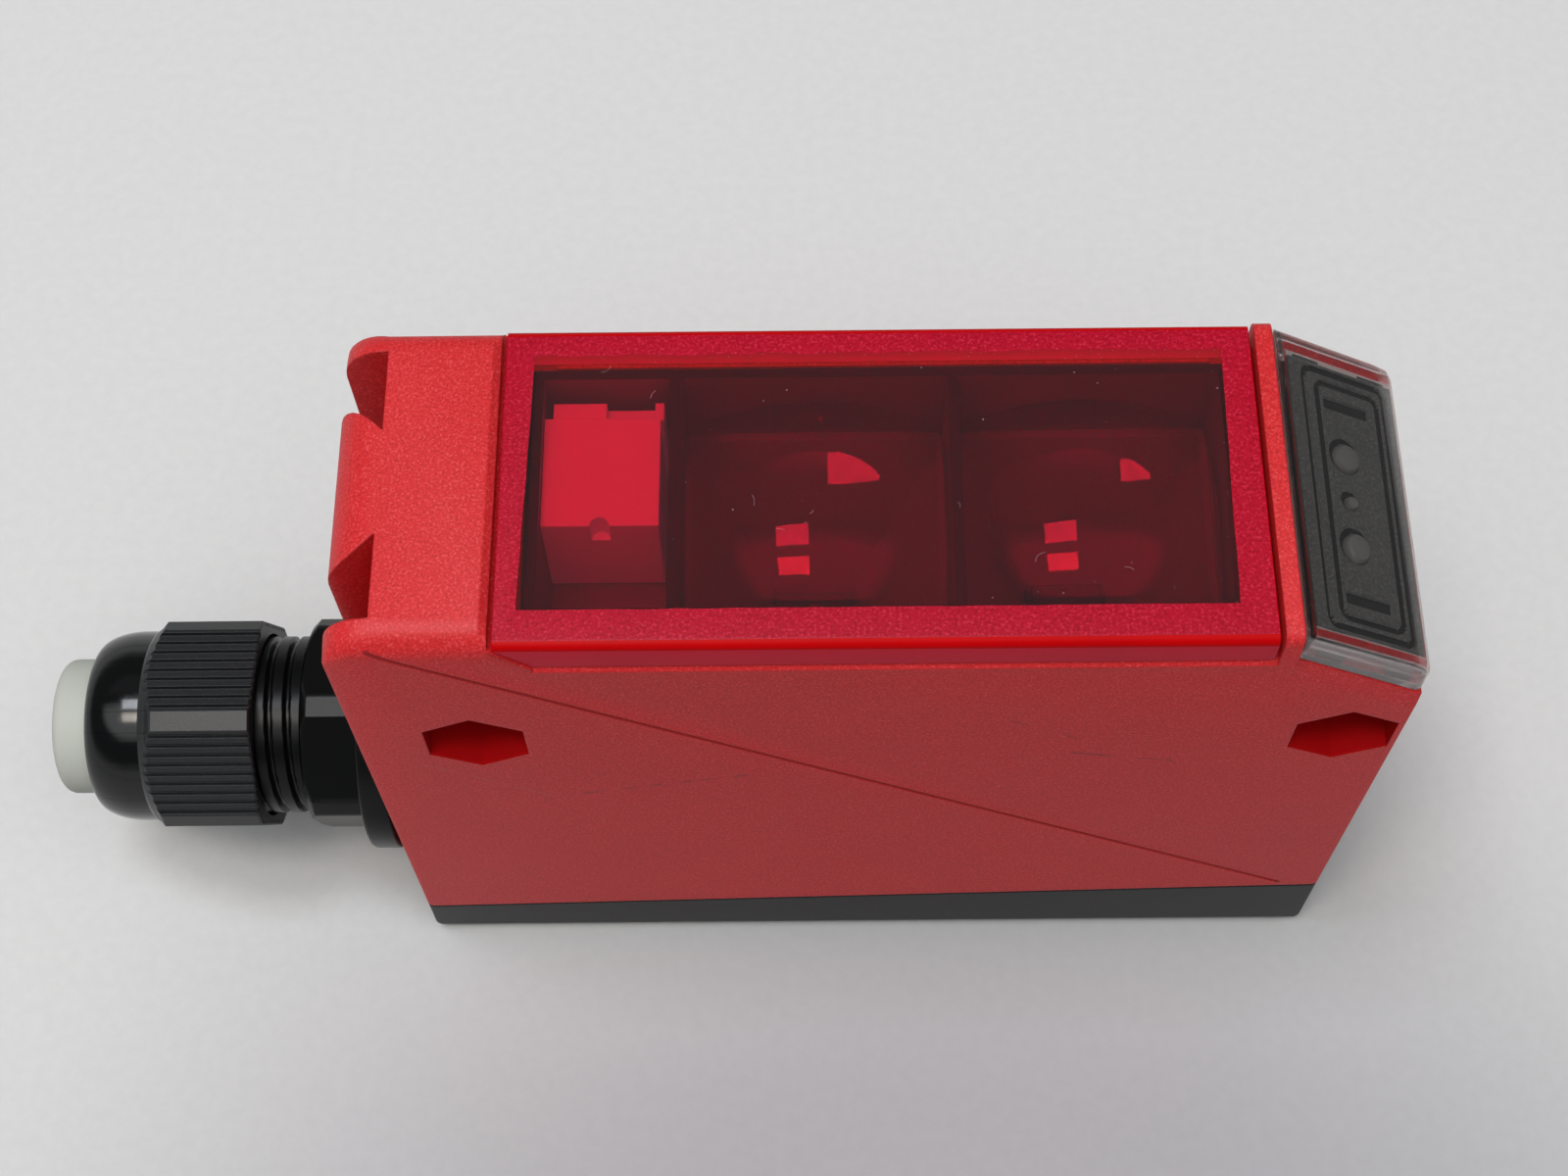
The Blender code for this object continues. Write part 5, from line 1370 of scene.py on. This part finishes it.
@dataclass
class Back(Assembly):
    """Dark back cover with its gasket and screws."""

    def build(self) -> None:
        """Dress the back cover, the gasket and the four screws.

        The cover is dark grey polyamide with a satin mould surface; the screws are
        zinc-plated steel.
        """
        # Painted highlights on the grain's peaks.
        polyamide = MouldedPlastic(
            "satin_polyamide_anthracite", "#211f20", 0.5, Grain.SPARK_ERODED, cloud=0.10,
            dust_speck_and_grain_highlight=0.2, grain_highlight_colour="#3c3937", edge=0.3, shine=0.3,
        )
        self.skin("back_cover", "back_tray", polyamide, 30.0)
        steel = PlatedSteel("zinc_plated_screw_steel", "#b4b6b8", 0.34)
        for end in ("left", "right"):
            for way in Way:
                node = f"cover_screw_{end}_{way.name.lower()}"
                self.skin(node, node.replace("cover_screw", "back_screw"), steel, 30.0)
        rubber = MouldedPlastic("moulded_nitrile_rubber", "#1c1c1c", 0.75, Grain.SATIN, edge=0.1)
        self.dress_node("cover_gasket", rubber.material())


@dataclass
class CableGland(Assembly):
    """Black cable gland: collar, hexagon, thread, ribbed cap nut and pale insert.

    Heights run out from the housing's end along the gland's own axis. The strips are the
    flats at a hexagon's corners. The turns are in degrees, all else is in mm. A turned
    outline is cut back to an envelope where its edges are chamfered.
    """

    left: float = -45.0
    height: float = 20.0
    body_flats: float = 19.6
    body_strip: float = 2.1
    body_turn: float = -14.0
    collar_start: float = 1.3
    collar_radius: float = 12.4
    hex_start: float = 4.2
    hex_end: float = 9.8
    hex_chamfer: float = 0.6
    hex_fall: float = 1.6
    edge_round: float = 0.4
    neck_end: float = 20.6
    neck_radius: float = 8.8
    thread_depth: float = 0.6
    thread_pitch: float = 1.8
    thread_shift: float = 11.48
    thread_root: float = 0.14
    thread_flank: float = 0.26
    spigot: float = 7.4
    spigot_radius: float = 8.0
    bore: float = 5.0
    nut_flats: float = 20.1
    nut_strip: float = 1.9
    nut_turn: float = -21.3
    nut_start: float = 14.5
    rib_end: float = 24.0
    barrel_start: float = 25.7
    dome_start: float = 27.0
    dome_end: float = 31.4
    dome_radius: float = 9.45
    mouth_radius: float = 7.0
    rib_pitch: float = 1.04
    rib_depth: float = 0.35
    rib_top: float = 0.58
    groove_floor: float = 0.22
    cage_radius: float = 7.9
    insert_radius: float = 6.7
    insert_bore: float = 3.5
    insert_start: float = 20.9
    insert_end: float = 35.0
    insert_round: float = 1.0
    clearance: float = 0.3
    edge_break: float = 0.18
    past_corners: float = 13.0

    def matrix(self) -> Matrix:
        """Frame of the gland: its Z points out of the housing's end."""
        return Matrix.Translation((self.left * MM, 0, self.height * MM)) @ Matrix.Rotation(-pi / 2, 4, "Y")

    def hexagon(self, flats: float, strip: float, turn: float, ribbed: bool) -> list[Point]:
        """Outline of a hexagon with flat strips at its corners.

        Args:
            flats: Width over its faces in mm.
            strip: Width of the flat strips in mm.
            turn: The hexagon's turn, in degrees.
            ribbed: Whether its faces carry ribs.

        Returns:
            Angle in radians and radius in mm of each point, round the axis.
        """
        face = (flats - 2 * strip) / sqrt(3)
        if ribbed:
            steps = self.ribs(face)
        else:
            steps = [(-face / 2 + face * k / 16, 0.0) for k in range(17)]
        corner = flats / 2 / cos(pi / 6) - strip / 2 / sqrt(3)
        points = []
        for side in range(6):
            normal = radians(turn + 30 + 60 * side)
            for offset, dip in steps:
                reach = flats / 2 - dip
                points.append((normal + atan2(offset, reach), hypot(offset, reach)))
            for k in range(1, 6):
                offset = -strip / 2 + strip * k / 6
                points.append((normal + pi / 6 + atan2(offset, corner), hypot(offset, corner)))
        return points

    def ribs(self, face: float) -> list[Point]:
        """Places along a ribbed face of a width in mm, with how deep the face lies there."""
        count = int(face / self.rib_pitch)
        edge = (face - count * self.rib_pitch) / 2
        floor = self.groove_floor / 2
        slope = (self.rib_pitch - self.rib_top - self.groove_floor) / 2
        steps = [(-face / 2, 0.0)]
        for k in range(count):
            middle = -face / 2 + edge + (k + 0.5) * self.rib_pitch
            steps += [
                (middle - floor - slope, 0.0), (middle - floor, self.rib_depth),
                (middle + floor, self.rib_depth), (middle + floor + slope, 0.0),
            ]
        steps.append((face / 2, 0.0))
        return steps

    def stack(self, name: str, angles: list[float], rows: list[Row], sharp: float) -> bpy.types.Mesh:
        """Closed body through rows of points round the axis.

        Args:
            name: The mesh's name.
            angles: Direction of each point of a row, in radians.
            rows: Height in mm, and one radius or a list with a radius for each angle.
            sharp: Edges that bend by more than this many degrees stay sharp.

        Returns:
            The mesh, closed from its last row back to its first.
        """
        bm = bmesh.new()
        grid = []
        for height, radius in rows:
            reaches = radius if isinstance(radius, list) else [radius] * len(angles)
            grid.append(corners(bm, [
                (reach * cos(angle), reach * sin(angle), height) for angle, reach in zip(angles, reaches)
            ]))
        for index, lower in enumerate(grid):
            band(bm, lower, grid[(index + 1) % len(grid)])
        return mesh_from(bm, name, sharp)

    @staticmethod
    def limit(points: list[Point], height: float) -> float:
        """Radius of a turned outline at a height.

        Args:
            points: Its points, as height and radius in mm, from the lowest up.
            height: The height in mm.

        Returns:
            The radius between the two nearest points, or that of the nearest end.
        """
        for (z0, r0), (z1, r1) in zip(points, points[1:]):
            if z0 <= height <= z1:
                return r0 if z1 == z0 else r0 + (r1 - r0) * (height - z0) / (z1 - z0)
        return points[-1][1] if height > points[-1][0] else points[0][1]

    def cap_nut(self) -> bpy.types.Mesh:
        """Ribbed hexagon with a flat end that runs into a glossy dome."""
        outline = self.hexagon(self.nut_flats, self.nut_strip, self.nut_turn, True)
        angles = [angle for angle, _ in outline]
        shoulder = self.nut_flats / 2 + 0.05
        envelope = [
            (self.nut_start, self.past_corners), (self.rib_end - 0.8, shoulder + 2.0),
            (self.rib_end + 0.8, shoulder), (self.barrel_start + 0.2, self.dome_radius - 0.2),
        ]
        neck, cage = self.neck_radius + self.clearance, self.cage_radius + self.clearance
        rows: list[Row] = [
            (self.nut_start, neck),
            (self.nut_start, [reach - self.edge_break for _, reach in outline]),
            (self.nut_start + self.edge_break, [reach for _, reach in outline]),
        ]
        low, high = self.rib_end - 1.6, self.barrel_start + 0.1
        for k in range(25):
            height = low + (high - low) * k / 24
            cap = self.limit(envelope, height)
            rows.append((height, [max(self.dome_radius, min(cap, reach)) for _, reach in outline]))
        corner = self.mouth_radius + 0.5
        reach, rise = self.dome_radius - corner, self.dome_end - 0.1 - self.dome_start
        for k in range(21):
            angle = pi / 2 * k / 20
            rows.append((self.dome_start + rise * sin(angle), corner + reach * cos(angle)))
        rows += [
            (self.dome_end, self.mouth_radius + 0.4), (self.dome_end, self.mouth_radius),
            (self.dome_end - 1.5, self.mouth_radius), (self.dome_start + 0.6, cage),
            (self.neck_end + 2 * self.clearance, cage), (self.neck_end + self.clearance, neck),
        ]
        return self.stack("gland_nut", angles, rows, 24.0)

    def body(self) -> bpy.types.Mesh:
        """Spigot, collar, hexagon and threaded neck in one."""
        outline = self.hexagon(self.body_flats, self.body_strip, self.body_turn, False)
        angles = [angle for angle, _ in outline]
        bend = self.edge_round
        rows: list[Row] = [
            (-self.spigot, self.bore), (-self.spigot, self.spigot_radius - bend),
            (-self.spigot + bend, self.spigot_radius), (self.collar_start, self.spigot_radius),
            (self.collar_start, self.collar_radius - bend),
        ]
        for start, sign in ((self.collar_start + bend, -1), (self.hex_start - bend, 1)):
            for k in range(5):
                angle = pi / 2 * (k if sign > 0 else 4 - k) / 4
                rows.append((start + sign * bend * sin(angle), self.collar_radius - bend + bend * cos(angle)))
        end = self.body_flats / 2 + 0.3
        envelope = [
            (self.hex_start, self.past_corners),
            (self.hex_end - 2 * self.hex_chamfer, end + 2 * self.hex_chamfer), (self.hex_end, end),
        ]
        fall = self.hex_fall
        for height in [self.hex_start] + [self.hex_end - fall + fall * k / 12 for k in range(13)]:
            cap = self.limit(envelope, height)
            rows.append((height, [min(cap, reach) for _, reach in outline]))
        low = self.hex_end + 0.02
        heights = [low + 0.09 * k for k in range(60)]
        heights += [heights[-1] + (self.neck_end - 0.1 - heights[-1]) * k / 16 for k in range(1, 17)]
        for height in heights:
            rows.append((height, [self.thread(height, angle) for angle in angles]))
        rows += [(self.neck_end, self.neck_radius - self.thread_depth), (self.neck_end, self.bore)]
        return self.stack("gland_core", angles, rows, 30.0)

    def thread(self, height: float, angle: float) -> float:
        """Radius of the threaded neck at a height and a direction, in mm."""
        turn = ((height - self.thread_shift) / self.thread_pitch - angle / (2 * pi) + 0.5) % 1.0 - 0.5
        off = abs(turn) * self.thread_pitch
        crest = min(1.0, max(0.0, (off - self.thread_root) / self.thread_flank))
        fade = min(1.0, (height - self.hex_end) / 0.35, (self.neck_end - height) / 0.5)
        return self.neck_radius - self.thread_depth * (1.0 - crest * max(0.0, fade))

    def insert(self) -> bpy.types.Mesh:
        """Pale sealing insert with a rounded front edge."""
        angles = [2 * pi * k / 128 for k in range(128)]
        rows: list[Row] = [
            (self.insert_start, self.insert_bore), (self.insert_start, self.insert_radius),
        ]
        edge, lip = self.insert_round, self.edge_round
        for k in range(9):
            angle = pi / 2 * k / 8
            rows.append((
                self.insert_end - edge + edge * sin(angle), self.insert_radius - edge + edge * cos(angle),
            ))
        for k in range(5):
            angle = pi / 2 * k / 4
            rows.append((self.insert_end - lip + lip * cos(angle), self.insert_bore + lip - lip * sin(angle)))
        return self.stack("gland_insert_ring", angles, rows, 30.0)

    def build(self) -> None:
        """Make the gland's pieces and dress them.

        The gland is black polyamide: satin on the ribbed faces, polished on the dome and
        in between on its body. The insert is pale thermoplastic elastomer with a dull
        surface.
        """
        # Painted highlights on the grain's peaks.
        satin = MouldedPlastic(
            "satin_polyamide_black", "#17191b", 0.42, Grain.FINE_ERODED,
            cloud=0.15, dust_speck_and_grain_highlight=0.3, grain_highlight_colour="#3a4044", edge=0.1,
        )
        glossy = MouldedPlastic(
            "polished_polyamide_black", "#060708", 0.13, Grain.POLISHED, cloud=0.05, edge=0.05, shine=0.4,
        )
        elastomer = MouldedPlastic(
            "dull_elastomer_pale_grey", "#c4c8bf", 0.65, Grain.SATIN, cloud=0.03, edge=0.1,
        )
        mesh = self.cap_nut()
        polished_from = (self.barrel_start - 0.3) * MM
        for face in mesh.polygons:
            if face.center.z > polished_from:
                face.material_index = 1
        put(
            "gland_nut", mesh, [satin.material(), glossy.material()], "ribbed_cap_nut",
            ("gland_cap_nut",), self.matrix(),
        )
        semi = MouldedPlastic(
            "moulded_polyamide_black", "#0b0c0d", 0.3, Grain.SATIN, cloud=0.08, edge=0.1, shine=0.18,
        )
        put(
            "gland_core", self.body(), [semi.material()], "black_gland_body",
            ("gland_body",), self.matrix(),
        )
        put(
            "gland_insert_ring", self.insert(), [elastomer.material()], "grey_sealing_insert",
            ("gland_insert",), self.matrix(),
        )
        seal = MouldedPlastic("die_cut_rubber_black", "#121212", 0.7, Grain.SATIN, edge=0.1)
        self.skin("gland_seal", "gland_seal_ring", seal)
        inner = MouldedPlastic("satin_polyamide_dark", "#222427", 0.45, Grain.SATIN, edge=0.1)
        self.dress_node("gland_lock_nut", inner.material())
        self.dress_node("gland_cage", inner.material())


@dataclass
class Electronics(Assembly):
    """Boards and components inside the housing."""

    def build(self) -> None:
        """Dress the inner boards and their components in their usual finishes."""
        for place in ("main", "base"):
            board = Laminate(f"glass_cloth_laminate_{place}", "#1f5a36", 0.4)
            self.dress_node(f"{place}_board", board.material())
        plastics = (
            ("board_header", "moulded_header_black", "#181818", 0.45),
            ("output_relay", "moulded_relay_case", "#2b2f34", 0.3),
            ("signal_chip", "moulded_epoxy_chip", "#19191b", 0.4),
            ("terminal_block", "moulded_terminal_green", "#3f5c46", 0.45),
        )
        for node, name, colour, roughness in plastics:
            case = MouldedPlastic(name, colour, roughness, Grain.SATIN, edge=0.1)
            self.dress_node(node, case.material())
        self.dress_node("supply_capacitor", PlatedSteel("drawn_aluminium_can", "#b9bcc0", 0.3).material())
        steel = PlatedSteel("nickel_plated_terminal_steel", "#b5b7b9", 0.32).material()
        for number in range(1, 6):
            self.dress_node(f"terminal_screw_{number}", steel)


@dataclass(frozen=True)
class Panel:
    """A soft rectangular lamp above the table, in metres."""

    name: str
    centre: Place
    size: Point
    radiance: float
    colour: str


@dataclass
class Studio:
    """Pale table, two soft lamps, a room of pale walls under a dim ceiling, and the camera.

    A direction's share of up, right or back runs from minus one to one. The fades give the
    shares between which the walls end upwards, the walls darken to the right, the bright
    part overhead sets in, it ends towards the back, and the faint one behind sets in.
    The camera's eye is in mm, its angles are in degrees.
    """

    table: str = "#e4e5e4"
    table_half: float = 3.0
    ceiling: float = 0.13
    low_light: float = 0.32
    low_shown: float = 0.74
    high_light: float = 1.6
    behind_light: float = 0.08
    right_light: float = 0.08
    wall_fade: Point = (0.08, 0.38)
    right_fade: Point = (0.45, 0.75)
    high_fade: Point = (0.68, 0.80)
    front_fade: Point = (0.14, -0.06)
    behind_fade: Point = (0.20, 0.36)
    air: str = "#f8f9fb"
    focal: float = 54.79
    eye: Place = (-6.152, -94.409, 239.903)
    pitch: float = 63.608
    yaw: float = -1.112
    roll: float = -1.564
    lamps: tuple[Panel, ...] = (
        Panel("lamp_cool", (-0.30, 0.08, 1.4), (0.43, 0.28), 13.0, "#f2f6ff"),
        Panel("lamp_warm", (-0.30, -0.34, 1.4), (0.43, 0.25), 14.0, "#fff4e8"),
    )

    def build(self) -> None:
        """Set the table, the lamps, the room and the camera."""
        self.ground()
        self.light()
        self.room()
        self.camera()

    def ground(self) -> None:
        """A wide matt table top."""
        bm = bmesh.new()
        bmesh.ops.create_grid(bm, x_segments=1, y_segments=1, size=self.table_half)
        mesh = mesh_from(bm, "table_top")
        mesh.materials.append(PaintedTable("matt_painted_table", self.table, 0.8).material())
        linked("table_top", mesh)

    def light(self) -> None:
        """Two ceiling panels, whose glints show in the lenses and on the gland."""
        for panel in self.lamps:
            data = bpy.data.lights.new(panel.name, "AREA")
            data.shape = "RECTANGLE"
            data.size, data.size_y = panel.size
            data.color = linear(panel.colour)[:3]
            data.energy = panel.radiance * pi * panel.size[0] * panel.size[1]
            linked(panel.name, data).location = panel.centre

    def room(self) -> None:
        """Light of the room by its height: pale walls, a bright part overhead in front."""
        world = bpy.data.worlds.new("soft_room")
        bpy.context.scene.world = world
        world.use_nodes = True
        tree = world.node_tree
        tree.nodes.clear()
        way = add_node(tree, "ShaderNodeTexCoord").outputs["Generated"]
        right, back, up = add_node(tree, "ShaderNodeSeparateXYZ", {}, {0: way}).outputs
        level = add_node(
            tree, "ShaderNodeMapRange",
            {"To Min": self.low_light - self.ceiling, "To Max": self.low_shown - self.ceiling},
            {"Value": shown_rays(tree)},
        ).outputs[0]
        low, side, high, front, behind = (
            add_node(
                tree, "ShaderNodeMapRange",
                {
                    "interpolation_type": "SMOOTHSTEP", "From Min": fade[0], "From Max": fade[1],
                    "To Min": ends[0], "To Max": ends[1],
                },
                {"Value": share},
            ).outputs[0]
            for share, fade, ends in (
                (up, self.wall_fade, (1.0, 0.0)),
                (right, self.right_fade, (1.0, self.right_light)),
                (up, self.high_fade, (0.0, self.high_light)),
                (back, self.front_fade, (0.0, 1.0)),
                (back, self.behind_fade, (0.0, self.behind_light)),
            )
        )
        low = add_node(tree, "ShaderNodeMath", {"operation": "MULTIPLY"}, {0: low, 1: side}).outputs[0]
        walls = add_node(tree, "ShaderNodeMath", {"operation": "MULTIPLY"}, {0: low, 1: level}).outputs[0]
        over = add_node(tree, "ShaderNodeMath", {"operation": "MULTIPLY"}, {0: high, 1: front}).outputs[0]
        behind = add_node(tree, "ShaderNodeMath", {"operation": "MULTIPLY"}, {0: behind, 1: high}).outputs[0]
        over = add_node(tree, "ShaderNodeMath", {"operation": "ADD"}, {0: over, 1: behind}).outputs[0]
        total = add_node(tree, "ShaderNodeMath", {"operation": "ADD"}, {0: walls, 1: over}).outputs[0]
        total = add_node(
            tree, "ShaderNodeMath", {"operation": "ADD", 1: self.ceiling}, {0: total},
        ).outputs[0]
        air = add_node(tree, "ShaderNodeBackground", {"Color": linear(self.air)}, {"Strength": total})
        add_node(tree, "ShaderNodeOutputWorld", {}, {"Surface": air.outputs[0]})

    def camera(self) -> None:
        """The camera at the photograph's place and angle."""
        pitch, yaw, roll = radians(self.pitch), radians(self.yaw), radians(self.roll)
        ahead = Vector((sin(yaw) * cos(pitch), cos(yaw) * cos(pitch), -sin(pitch)))
        right = Vector((cos(yaw), -sin(yaw), 0.0))
        up = right.cross(ahead)
        side = cos(roll) * right + sin(roll) * up
        head = cos(roll) * up - sin(roll) * right
        data = bpy.data.cameras.new("photo_view")
        data.sensor_width = 36.0
        data.lens = self.focal
        data.clip_start = 0.01
        data.clip_end = 20.0
        camera = linked("photo_view", data)
        rotation = Matrix((side, head, -ahead)).transposed().to_4x4()
        camera.matrix_world = Matrix.Translation(Vector(self.eye) * MM) @ rotation
        bpy.context.scene.camera = camera


def main() -> None:
    """Build and dress the sensor and set the studio."""
    logging.basicConfig(level=logging.INFO, format="%(name)s: %(message)s")
    for item in list(bpy.data.objects):
        bpy.data.objects.remove(item)
    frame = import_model()
    bpy.context.scene.view_settings.view_transform = "Standard"
    for assembly in (Housing, OpticsCover, Optics, IndicatorCorner, Back, CableGland, Electronics):
        assembly(frame).build()
    Studio().build()


if __name__ == "__main__":
    main()
